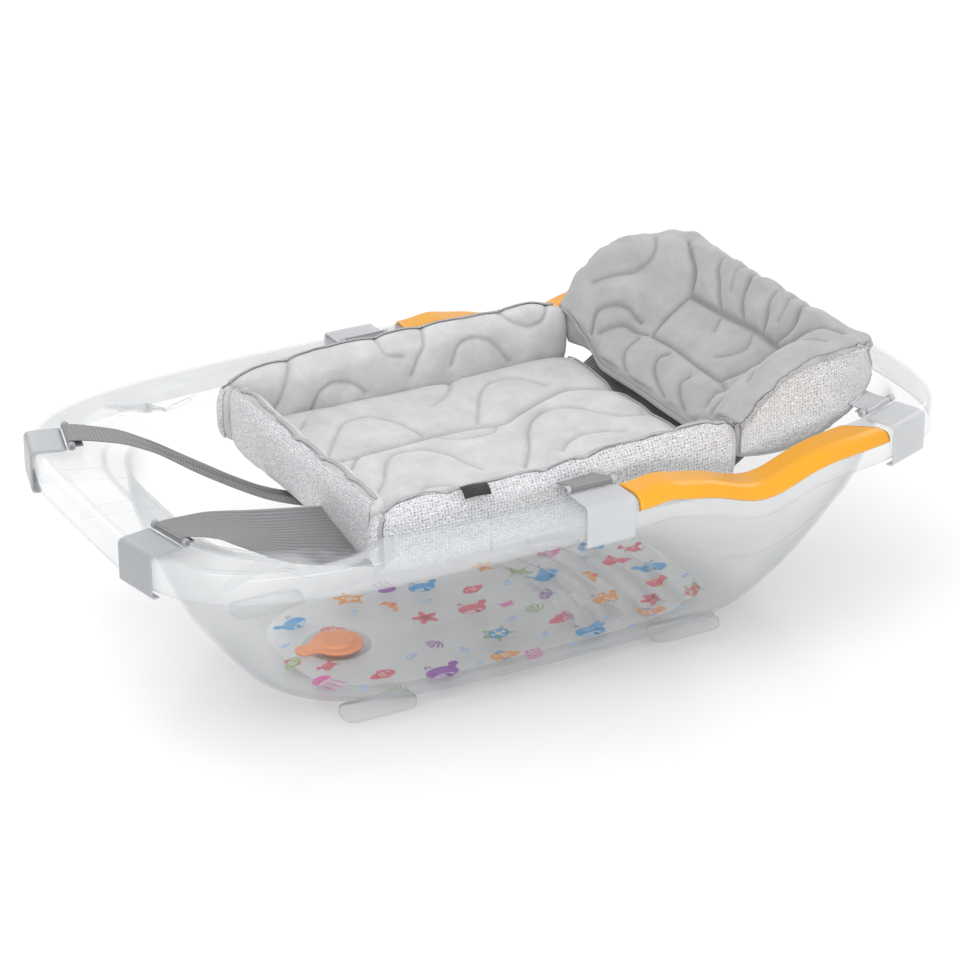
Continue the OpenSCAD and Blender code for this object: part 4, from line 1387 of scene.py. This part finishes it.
def quilt(points, seams, puff, cut):
    """How far a quilted face stands out, and how much painted shade falls on each point along the
    sewn lines, 0 to 1: the filling's swell dies away within 12 mm of a sewn line, less a narrow cut along the
    line."""
    swell, thread = np.full(len(points), puff), np.zeros(len(points))
    for depth, line in seams:
        far = distance_to(points, rounded_line(line))
        firm = min(1.0, 0.75 * depth)
        pulled = puff * (1 - firm * bell(far / SEAM_REACH)) - cut * depth * bell(far / SEAM_CUT)
        swell = np.minimum(swell, pulled)
        thread = np.maximum(thread, firm * bell(far / SEAM_SHADE_REACH))
    return swell, thread


def slump(points, seed, height, spacing):
    """Loose waves of stuffed cloth: the sum of six plane cosines of seeded direction and phase."""
    dice = np.random.default_rng(seed)
    total = np.zeros(len(points))
    for _ in range(6):
        heading = dice.normal(size=3)
        heading /= np.linalg.norm(heading)
        wavelength = spacing * dice.uniform(0.7, 1.5)
        total += np.cos(points @ heading * 2 * np.pi / wavelength + dice.uniform(0, 6.3))
    return height * total / 6


def slab(centre, half, edge=0.28, corner=0.14, rows=40, cols=160):
    """Closed superellipsoid: each axis is the cosine or sine raised to a power that squares it up."""
    def powered(value, power):
        return np.sign(value) * np.abs(value) ** power
    lift = np.linspace(-np.pi / 2, np.pi / 2, rows)[:, None]
    turn = np.linspace(0, 2 * np.pi, cols, endpoint=False)[None, :]
    ring = powered(np.cos(lift), edge)
    grid = np.stack([
        centre[0] + half[0] * ring * powered(np.cos(turn), corner),
        centre[1] + half[1] * ring * powered(np.sin(turn), corner),
        centre[2] + half[2] * powered(np.sin(lift), edge) * np.ones_like(turn),
    ], -1) * MM
    return grid, [grid_faces(rows, cols, True)]


def fresh_pad(name, points, faces, material, replaces, slot):
    """A closed pad, voxel remeshed at 4 mm and evened out, ready to be filled."""
    mesh = settle(new_mesh(name, points, faces))
    pad = add_piece(name, mesh, material, replaces=replaces)
    add_modifier(pad, "REMESH", mode="VOXEL", voxel_size=VOXEL)
    add_modifier(pad, "SMOOTH", factor=0.5, iterations=3)
    return bake_modifiers(pad)


def fill_pads(pads, pressure=4.0, cap=6 * MM):
    """Cloth simulation of the filling: each closed cover swells under pressure without gravity for
    20 frames, and no point moves further than cap. Each is then stretched back to the box it was cut
    for, so that it stays clear of its neighbours, and the result becomes the mesh."""
    scene = bpy.context.scene
    rest = [coordinates(pad.data) for pad in pads]
    for pad in pads:
        cloth = pad.modifiers.new("filling", "CLOTH")
        cloth.settings.use_pressure = True
        cloth.settings.uniform_pressure_force = pressure
        cloth.settings.effector_weights.gravity = 0
        cloth.settings.quality = 4
        cloth.point_cache.frame_start, cloth.point_cache.frame_end = 1, 20
    for step in range(1, 21):
        scene.frame_set(step)
    graph = bpy.context.evaluated_depsgraph_get()
    for pad, before in zip(pads, rest):
        after = coordinates(pad.evaluated_get(graph).data)
        move = after - before
        far = np.linalg.norm(move, axis=1)[:, None]
        limited = before + move * np.minimum(1, cap / np.maximum(far, 1e-9))
        low, high = limited.min(0), limited.max(0)
        fitted = before.min(0) + (limited - low) * np.ptp(before, axis=0) / (high - low)
        pad.modifiers.clear()
        set_coordinates(pad.data, fitted)
    scene.frame_set(1)


def finish_pad(pad, stand_out):
    add_modifier(pad, "SUBSURF", levels=1, render_levels=1)
    bake_modifiers(pad)
    co, n = coordinates(pad.data), normals(pad.data)
    out, thread = stand_out(co / MM, n)
    set_coordinates(pad.data, co + n * (out * MM)[:, None])
    # The attribute thread holds the painted shade along the seams, which the plush reads.
    pad.data.attributes.new("thread", "FLOAT", "POINT").data.foreach_set("value", thread.astype(np.float32))
    pad.data.shade_smooth()


# Headrest profile along X: place, height of the inner floor, height of a wing's edge, height of the
# hem, distance of the outer face, height of the underside.
HEADREST = np.array([
    [181, 205, 240, 197, 175, 184], [200, 216, 268, 194, 176, 186], [230, 230, 291, 195, 177, 202],
    [262, 244, 299, 201, 177, 219], [286, 256, 300, 208, 176, 230], [305, 279, 299, 216, 174, 234],
    [322, 297, 298, 227, 171, 238], [334, 298, 292, 236, 166, 248], [347, 280, 268, 247, 155, 262],
])


def headrest_at(x, column):
    """One column of the headrest's profile at x, straight between its rows."""
    return np.interp(x, HEADREST[:, 0], HEADREST[:, column])


def headrest_top(x, y):
    """Height of the bowl: the sloping floor in the middle, rising in an eased curve to the wings."""
    floor, wing = headrest_at(x, 1), headrest_at(x, 2)
    rise = smooth_step((np.abs(y) - 86) / (headrest_at(x, 4) - 14 - 86))
    return floor + (np.maximum(wing, floor) - floor) * rise


def wall_rise(x, side):
    """How far a long wall's top stands above the tray's level: the far one most, both towards the head."""
    far = 11 * smooth_step((x + 230) / 200)
    near = 8 * smooth_step((x + 230) / 200) * smooth_step((x + 60) / 160)
    return far if side > 0 else near


def panel(name, grid, target, gap, thickness, material, replaces=()):
    """A sheet wrapped on a pad: the grid (rows, cols, 3, in mm) is drawn to the nearest place of the
    pad's surface, gap above it, then given its thickness."""
    rows, cols = grid.shape[:2]
    mesh = new_mesh(name, grid * MM, [grid_faces(rows, cols)])
    run = np.concatenate([[0], np.linalg.norm(np.diff(grid[rows // 2], axis=0), axis=1).cumsum()]) * MM
    rise = np.concatenate([[0], np.linalg.norm(np.diff(grid[:, cols // 2], axis=0), axis=1).cumsum()]) * MM
    lay_uv(mesh, np.stack(np.broadcast_arrays(run[None, :], rise[:, None]), -1).reshape(-1, 2))
    mesh.shade_smooth()
    obj = add_piece(name, mesh, material, replaces=replaces)
    add_modifier(obj, "SHRINKWRAP", target=target, wrap_method="NEAREST_SURFACEPOINT",
                 wrap_mode="ABOVE_SURFACE", offset=gap * MM)
    add_modifier(obj, "SMOOTH", factor=0.5, iterations=3)
    add_modifier(obj, "SOLIDIFY", thickness=thickness * MM, offset=0)
    bake_modifiers(obj)
    obj.data.shade_smooth()
    return obj


def straight_grid(rows, cols, place):
    """Grid of points from place(share down, share along), both from 0 to 1."""
    down, along = np.meshgrid(np.linspace(0, 1, rows), np.linspace(0, 1, cols), indexing="ij")
    return np.stack([np.broadcast_to(v, down.shape).astype(float) for v in place(down, along)], -1)


def mixed(a, b, t):
    """The value a share t of the way from a to b."""
    return a + (b - a) * t


class BATHTUB_OT_seat(Operator):
    """Make the quilted tray and the headrest, fill them and dress them in mesh and edging"""

    bl_idname = "bathtub.seat"
    bl_label = "Quilted seat"

    def execute(self, context):
        seat = context.scene.bathtub_seat
        plush = material_named("light_velour_plush", velour_plush, seat.plush)
        shaded = material_named("grey_velour_plush", velour_plush, seat.plush_shade)
        pads = self.tray_pads(plush)
        pads["headrest"] = self.headrest_pad(shaded)
        fill_pads(list(pads.values()))
        self.quilt_tray(pads, seat)
        self.quilt_headrest(pads["headrest"], seat)
        bpy.context.view_layer.update()
        self.tray_mesh(pads, seat)
        self.headrest_mesh(pads["headrest"], seat)
        return {"FINISHED"}

    def tray_pads(self, plush):
        """Mattress and three walls, each a slab a little smaller than its space."""
        middle_z, half_z = (TRAY_TOP + TRAY_BOTTOM) / 2, (TRAY_TOP - TRAY_BOTTOM) / 2
        thick = bpy.context.scene.bathtub_seat.mattress / MM
        middle_x = (TRAY_FROM + PAD + TRAY_TO) / 2
        pads = {"mattress": fresh_pad(
            "mattress_pad",
            *slab(
                (middle_x + 4, 0, TRAY_BOTTOM + thick / 2),
                ((TRAY_TO - TRAY_FROM - PAD) / 2 + 2, TRAY_HALF - PAD + 2, thick / 2 - 2)
            ),
            plush, ["mattress"], "plush",
        )}
        for side, name in ((-1, "near"), (1, "far")):
            grid, faces = slab(((TRAY_FROM + 7 + TRAY_TO) / 2, side * (TRAY_HALF - PAD / 2), middle_z),
                               ((TRAY_TO - TRAY_FROM) / 2 + 0.5, PAD / 2 - 2.5, half_z - 2.5), 0.45, 0.22)
            up = (grid[..., 2] / MM - TRAY_BOTTOM) / (TRAY_TOP - TRAY_BOTTOM)
            grid[..., 2] += wall_rise(grid[..., 0] / MM, side) * up * MM
            pads[name] = fresh_pad(f"wall_{name}_pad", grid, faces, plush, [f"wall_{name}"], "plush")
        pads["foot"] = fresh_pad(
            "wall_foot_pad",
            *slab(
                (TRAY_FROM + PAD / 2, 0, middle_z), (PAD / 2 - 2.5, TRAY_HALF - PAD + 4, half_z - 3),
                0.36, 0.2
            ),
            plush, ["wall_foot"], "plush",
        )
        return pads

    def headrest_pad(self, shaded):
        """The whole bowl as one closed pad between its upper and lower faces."""
        rows = np.linspace(HEADREST[0, 0], HEADREST[-1, 0], 70)[:, None]
        share = np.linspace(-1, 1, 120)[None, :]
        x = np.broadcast_to(rows, (70, 120))
        y = share * headrest_at(rows, 4)
        top = headrest_top(x, y)
        outside = smooth_step((np.abs(y) - 96) / 26)
        bottom = headrest_at(x, 5) + (headrest_at(x, 3) - headrest_at(x, 5)) * outside
        bottom = np.minimum(bottom, top - 12)
        upper, lower = (np.stack([x, y, z], -1) * MM for z in (top - 2, bottom + 2))
        return fresh_pad(
            "headrest_pad", *shell_between(upper, lower), shaded,
            ["headrest_base", "headrest_back", "wing_near", "wing_far"], "plush_shade",
        )

    def quilt_tray(self, pads, seat):
        puff, cut = seat.puff / MM, seat.seam / MM

        def on_mattress(p, n):
            face = smooth_step((n[:, 2] - 0.2) / 0.4)
            swell, thread = quilt(p[:, :2], MATTRESS_SEAMS, puff, cut)
            return face * (swell + slump(p, 3, 1.6, 150)) - 1, face * thread

        def on_wall(p, n, side, seed):
            inner = smooth_step((-side * n[:, 1] + 0.35) / 0.5)
            swell, thread = quilt(p[:, [0, 2]], WALL_SEAMS, puff * 0.8, cut)
            return inner * swell + slump(p, seed, 1.8, 110), inner * thread

        def on_foot(p, n):
            inner = smooth_step((n[:, 0] + 0.35) / 0.5)
            swell, thread = quilt(p[:, [1, 2]], FOOT_WALL_SEAMS, puff * 0.8, cut)
            return inner * swell + slump(p, 9, 1.6, 100), inner * thread

        finish_pad(pads["mattress"], on_mattress)
        finish_pad(pads["near"], lambda p, n: on_wall(p, n, -1, 5))
        finish_pad(pads["far"], lambda p, n: on_wall(p, n, 1, 7))
        finish_pad(pads["foot"], on_foot)

    def quilt_headrest(self, pad, seat):
        puff, cut = seat.puff / MM, seat.seam / MM

        def stand_out(p, n):
            inside = smooth_step((n[:, 2] - 0.05) / 0.3) * (p[:, 2] > 190)
            folds = np.cos(p[:, 1] / 5.4 + 0.08 * p[:, 0])
            wrinkles = 1.3 * bell((p[:, 0] - 310) / 16) * folds * bell(p[:, 1] / 120)
            ruffle = 0.45 * np.cos(p[:, 0] / 4.1) * smooth_step((np.abs(p[:, 1]) - 150) / 10)
            swell, thread = quilt(p[:, :2], HEADREST_SEAMS, puff, cut)
            return inside * (swell + wrinkles + ruffle) + slump(p, 13, 1.6, 90), inside * thread

        finish_pad(pad, stand_out)

    def tray_mesh(self, pads, seat):
        """Spacer mesh on the outer faces and the underside of the tray, and edging along its top."""
        mesh = material_named("silver_spacer_mesh", spacer_mesh, seat.spacer)
        thread = material_named("overlock_thread_grey", overlock_thread, seat.edging)
        for side, name in ((-1, "near"), (1, "far")):
            y = side * (TRAY_HALF + 2)
            grid = straight_grid(30, 150, lambda d, a, y=y, side=side: (
                mixed(TRAY_FROM + 4, TRAY_TO, a),
                y * (1 - 0.055 * smooth_step((0.22 - d) / 0.22)),
                mixed(TRAY_TOP + 4 + wall_rise(mixed(TRAY_FROM, TRAY_TO, a), side), TRAY_BOTTOM + 2, d)))
            panel(
                f"mesh_{name}_panel", grid, pads[name], MESH_GAP, MESH_THICK, mesh,
                [f"mesh_{name}"]
            )
            edge = straight_grid(6, 260, lambda d, a, side=side: (
                mixed(TRAY_FROM + 4, TRAY_TO - 2, a) + 0 * d,
                side * (TRAY_HALF - 16 + (14 if side > 0 else 8) * d) + 0.5 * np.sin(a * 390),
                TRAY_TOP + 6 + wall_rise(mixed(TRAY_FROM, TRAY_TO, a), side) + 0.6 * np.sin(a * 310)))
            replaced = ["tray_binding"] if side < 0 else []
            panel(f"tray_edging_{name}", edge, pads[name], 1.7, 1.5, thread, replaced)
            corner = straight_grid(28, 16, lambda d, a, side=side: (
                TRAY_FROM - 1 + 0 * a, side * mixed(TRAY_HALF - 1, TRAY_HALF - PAD + 3, a),
                mixed(TRAY_TOP - 4, TRAY_BOTTOM + 6, d)))
            panel(
                f"mesh_corner_{name}_panel", corner, pads[name], MESH_GAP, MESH_THICK, mesh,
            )
            post = straight_grid(60, 6, lambda d, a, side=side: (
                TRAY_FROM - 1 + 3.5 * a, side * (TRAY_HALF + 1 - 5 * (1 - a)) + 0.6 * np.sin(d * 160),
                mixed(TRAY_TOP - 2, TRAY_BOTTOM + 6, d)))
            panel(f"tray_corner_edging_{name}", post, pads[name], 2.0, 1.6, thread)
        foot = straight_grid(30, 140, lambda d, a: (
            (TRAY_FROM - 2) * (1 - 0.03 * smooth_step((0.2 - d) / 0.2)),
            mixed(TRAY_HALF - 30, 30 - TRAY_HALF, a), mixed(TRAY_TOP + 2, TRAY_BOTTOM + 2, d)))
        panel(
            "mesh_foot_panel", foot, pads["foot"], MESH_GAP, MESH_THICK, mesh,
            ["mesh_foot"]
        )
        edge = straight_grid(6, 240, lambda d, a: (
            TRAY_FROM + 6 + 9 * d + 0.7 * np.sin(a * 360), mixed(TRAY_HALF - 30, 30 - TRAY_HALF, a),
            TRAY_TOP + 6 + 0.6 * np.sin(a * 280)))
        panel("tray_edging_foot", edge, pads["foot"], 1.7, 1.5, thread)
        seam = straight_grid(6, 200, lambda d, a: (
            TRAY_TO + 2 + 0 * d, mixed(148, -148, a), mixed(196, 190, d) + 0.6 * np.sin(a * 230)))
        panel("mattress_edging", seam, pads["mattress"], 1.2, 1.4, thread)
        under = straight_grid(60, 70, lambda d, a: (
            mixed(TRAY_FROM + 34, TRAY_TO - 4, a), mixed(152, -152, d), TRAY_BOTTOM - 4))
        panel(
            "mesh_floor_panel", under, pads["mattress"], MESH_GAP, MESH_THICK, mesh,
            ["mesh_floor"]
        )

    def headrest_mesh(self, pad, seat):
        """Spacer mesh outside the wings, the back and the underside, and edging round it."""
        mesh = material_named("silver_spacer_mesh", spacer_mesh, seat.spacer)
        thread = material_named("overlock_thread_grey", overlock_thread, seat.edging)
        for side, name in ((-1, "near"), (1, "far")):
            def outside(d, a, side=side, low=0.0, high=1.0, out=3.0, wave=0.0):
                x = mixed(179, 349, a)
                top = headrest_at(x, 2) - 7 - 5 * bell((x - 205) / 20) + 1.5 * np.sin(x / 6.5)
                hem = headrest_at(x, 3) + 4
                z = mixed(top, hem, mixed(low, high, d)) + 0.6 * wave * np.sin(x / 1.3)
                return x, side * (headrest_at(x, 4) + out), z
            grid = straight_grid(34, 80, outside)
            panel(
                f"wing_{name}_panel", grid, pad, MESH_GAP, MESH_THICK, mesh,
                [f"wing_mesh_{name}"]
            )
            edge = straight_grid(
                6, 200, lambda d, a, f=outside: f(d, a, low=-0.045, high=0.045, out=5.0, wave=0.7)
            )
            replaced = ["headrest_binding"] if side < 0 else []
            panel(f"headrest_edging_{name}", edge, pad, 1.9, 2.4, thread, replaced)
            front_edge = straight_grid(60, 8, lambda d, a, side=side: (
                177 + 2 * a, side * (mixed(176, 166, a) + 0.5 * np.sin(d * 150)), mixed(236, 200, d)))
            panel(f"wing_front_edging_{name}", front_edge, pad, 1.7, 1.5, thread)
            hem = straight_grid(
                6, 200, lambda d, a, f=outside: f(d, a, low=0.94, high=1.0, out=4.0, wave=0.6)
            )
            panel(f"headrest_hem_{name}", hem, pad, 1.8, 2.0, thread)
        front = straight_grid(6, 260, lambda d, a: (
            178 + 0 * d, mixed(165, -165, a),
            headrest_top(np.full_like(a, 183.0), mixed(165, -165, a)) - mixed(3, 10, d)
            + 0.6 * np.sin(a * 300)))
        panel("headrest_front_edging", front, pad, 1.2, 1.6, thread)
        # A dark webbing strip under the edges of the headrest and the tray: its dark colour is painted shade
        # that fills the gap between them.
        down, along = np.meshgrid(np.linspace(0, 1, 10), np.linspace(0, 1, 80), indexing="ij")
        strip = np.stack(
            [mixed(171, 215, down), mixed(-138, 154, along), 163.5 + 24.5 * down**1.3 + 0 * along], -1
        )
        gap_shade_sheet = new_mesh("seat_gap_shade_strip", strip * MM, [grid_faces(10, 80)])
        lay_uv(gap_shade_sheet, np.stack([strip[..., 1], strip[..., 0]], -1).reshape(-1, 2) * MM)
        gap_shade_sheet.shade_smooth()
        shaded = material_named("net_webbing_dark", net_webbing, seat.webbing)
        piece = add_piece("seat_gap_shade_strip", gap_shade_sheet, shaded)
        add_modifier(piece, "SOLIDIFY", thickness=1.0 * MM, offset=0)
        bake_modifiers(piece)
        back = straight_grid(30, 90, lambda d, a: (
            mixed(352, 318, smooth_step(d)), mixed(140, -140, a), mixed(288, 240, d)))
        panel(
            "mesh_back_panel", back, pad, MESH_GAP, MESH_THICK, mesh, ["mesh_back"],
        )
        under = straight_grid(40, 60, lambda d, a: (
            mixed(190, 300, d), mixed(92, -92, a), headrest_at(mixed(190, 300, d), 5) - 6))
        panel(
            "mesh_head_floor_panel", under, pad, MESH_GAP, MESH_THICK, mesh,
            ["mesh_head_floor"]
        )


class BATHTUB_OT_label(Operator):
    """Make the blank woven label sewn in at the near wall's top edge"""

    bl_idname = "bathtub.label"
    bl_label = "Blank label"

    def execute(self, context):
        black = material_named("black_satin_label", net_webbing, context.scene.bathtub_seat.label)
        # A folded tab: it leaves the seam level and droops outwards in an eased curve.
        grid = straight_grid(14, 24, lambda d, a: (
            mixed(-126, -98, a), -176 - 11 * d - 0.6 * np.sin(6 * a),
            242.5 - 7.5 * d**2 + 0.8 * np.sin(5 * a)))
        mesh = new_mesh("care_label_tab", grid * MM, [grid_faces(14, 24)])
        down, along = np.meshgrid(np.linspace(0, 0.013, 14), np.linspace(0, 0.028, 24), indexing="ij")
        lay_uv(mesh, np.stack([along, down], -1).reshape(-1, 2))
        mesh.shade_smooth()
        tab = add_piece("care_label_tab", mesh, black, replaces=["care_label"])
        add_modifier(tab, "SOLIDIFY", thickness=0.7 * MM, offset=0)
        bake_modifiers(tab)
        return {"FINISHED"}


# --------------------------------------------------------------------------
# Stage


class BATHTUB_OT_stage(Operator):
    """Make the floor, the lights and the camera"""

    bl_idname = "bathtub.stage"
    bl_label = "Stage"

    def execute(self, context):
        scene, stage = context.scene, context.scene.bathtub_stage
        self.floor(scene, stage)
        self.lights(scene)
        self.camera(scene, stage)
        # The clear walls lie many faces deep, so light may pass through more of them.
        scene.cycles.transparent_max_bounces = 48
        scene.view_settings.view_transform = "Standard"
        return {"FINISHED"}

    def floor(self, scene, stage):
        """A wide level sheet of satin white acrylic, which mirrors the tub faintly."""
        material, tree, output = new_material("studio_white_acrylic")
        coordinate = add_node(tree, "ShaderNodeTexCoord").outputs["Object"]
        dust = add_node(
            tree, "ShaderNodeTexNoise", {"Vector": coordinate, "Scale": 3.0, "Detail": 2.0}
        ).outputs[0]
        rough = add_node(
            tree, "ShaderNodeMapRange", {"Value": dust, "To Min": 0.14, "To Max": 0.2}
        ).outputs[0]
        shader = add_node(
            tree, "ShaderNodeBsdfPrincipled",
            {"Base Color": (*stage.floor, 1), "Roughness": rough, "Specular IOR Level": 0.35}
        )
        surface(tree, output, shader.outputs[0])
        down, along = np.meshgrid(np.linspace(-12, 12, 9), np.linspace(-12, 12, 9), indexing="ij")
        mesh = new_mesh("studio_floor", np.stack([along, down, 0 * down - 0.0004], -1), [grid_faces(9, 9)])
        mesh.materials.append(material)
        ground = bpy.data.objects.new("studio_floor", mesh)
        scene.collection.objects.link(ground)

    def lights(self, scene):
        world = bpy.data.worlds.new("studio_air")
        scene.world = world
        world.use_nodes = True
        background = world.node_tree.nodes["Background"]
        background.inputs["Color"].default_value = (*linear("#FBFBFC"), 1)
        background.inputs["Strength"].default_value = 0.92
        for name, place, aim, width, height, watts in (
            ("key_softbox", (-1.2, -1.0, 2.6), (0, 0, 0.1), 1.8, 1.4, 26),
            ("head_softbox", (2.4, 0.6, 1.8), (0, 0, 0.1), 1.0, 1.6, 12),
            ("back_softbox", (-0.4, 2.6, 1.6), (0, 0, 0.15), 2.2, 0.8, 10),
            ("low_softbox", (-0.5, -2.3, 0.42), (0.03, 0, 0.03), 1.8, 0.5, 17),
        ):
            lamp = bpy.data.lights.new(name, "AREA")
            lamp.shape, lamp.size, lamp.size_y, lamp.energy = "RECTANGLE", width, height, watts
            light = bpy.data.objects.new(name, lamp)
            scene.collection.objects.link(light)
            self.aim(light, np.array(place), np.array(aim))

    def aim(self, obj, place, target):
        """Puts an object at a place with its -Z axis towards the target and its Y axis up."""
        back = (place - target) / np.linalg.norm(place - target)
        right = np.cross([0, 0, 1.0], back)
        right /= np.linalg.norm(right)
        turned = np.eye(4)
        turned[:3, 0], turned[:3, 1], turned[:3, 2], turned[:3, 3] = right, np.cross(back, right), back, place
        obj.matrix_world = Matrix(turned.tolist())

    def camera(self, scene, stage):
        a, e = stage.camera_azimuth, stage.camera_elevation
        back = np.array([math.sin(a) * math.cos(e), -math.cos(a) * math.cos(e), math.sin(e)])
        target = np.array([0, 0, stage.target_height])
        data = bpy.data.cameras.new("studio_camera")
        data.sensor_width, data.lens = 36, 134.84
        data.shift_x, data.shift_y = -0.00752, 0.01925
        camera = bpy.data.objects.new("studio_camera", data)
        scene.collection.objects.link(camera)
        self.aim(camera, target + back * stage.camera_distance, target)
        scene.camera = camera


# --------------------------------------------------------------------------
# Add-on registration and the order of work

SETTINGS = {
    "bathtub_shell": BathtubShellSettings,
    "bathtub_print": BathtubPrintSettings,
    "bathtub_fittings": BathtubFittingsSettings,
    "bathtub_seat": BathtubSeatSettings,
    "bathtub_stage": BathtubStageSettings,
}
OPERATORS = (
    BATHTUB_OT_stage, BATHTUB_OT_shell, BATHTUB_OT_film, BATHTUB_OT_plug, BATHTUB_OT_grips,
    BATHTUB_OT_clips, BATHTUB_OT_straps, BATHTUB_OT_seat, BATHTUB_OT_label,
)


class BATHTUB_PT_panel(Panel):
    """Sidebar panel with every setting and every build step."""

    bl_idname = "BATHTUB_PT_panel"
    bl_label = "Baby bathtub"
    bl_space_type = "VIEW_3D"
    bl_region_type = "UI"
    bl_category = "Bathtub"

    def draw(self, context):
        for name, group in SETTINGS.items():
            box = self.layout.box()
            box.label(text=group.__doc__)
            for key in group.__annotations__:
                box.prop(getattr(context.scene, name), key)
        for operator in OPERATORS:
            self.layout.operator(operator.bl_idname)


CLASSES = (*SETTINGS.values(), *OPERATORS, BATHTUB_PT_panel)


def register():
    """Registers the classes and hangs the settings on the scene."""
    for cls in CLASSES:
        bpy.utils.register_class(cls)
    for name, group in SETTINGS.items():
        setattr(bpy.types.Scene, name, PointerProperty(type=group))


def unregister():
    """Takes the settings and the classes away again."""
    for name in SETTINGS:
        delattr(bpy.types.Scene, name)
    for cls in reversed(CLASSES):
        bpy.utils.unregister_class(cls)


def main():
    """Builds everything in order."""
    register()
    for operator in OPERATORS:
        getattr(bpy.ops.bathtub, operator.bl_idname.split(".")[1])()
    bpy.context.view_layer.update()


if __name__ == "__main__":
    main()
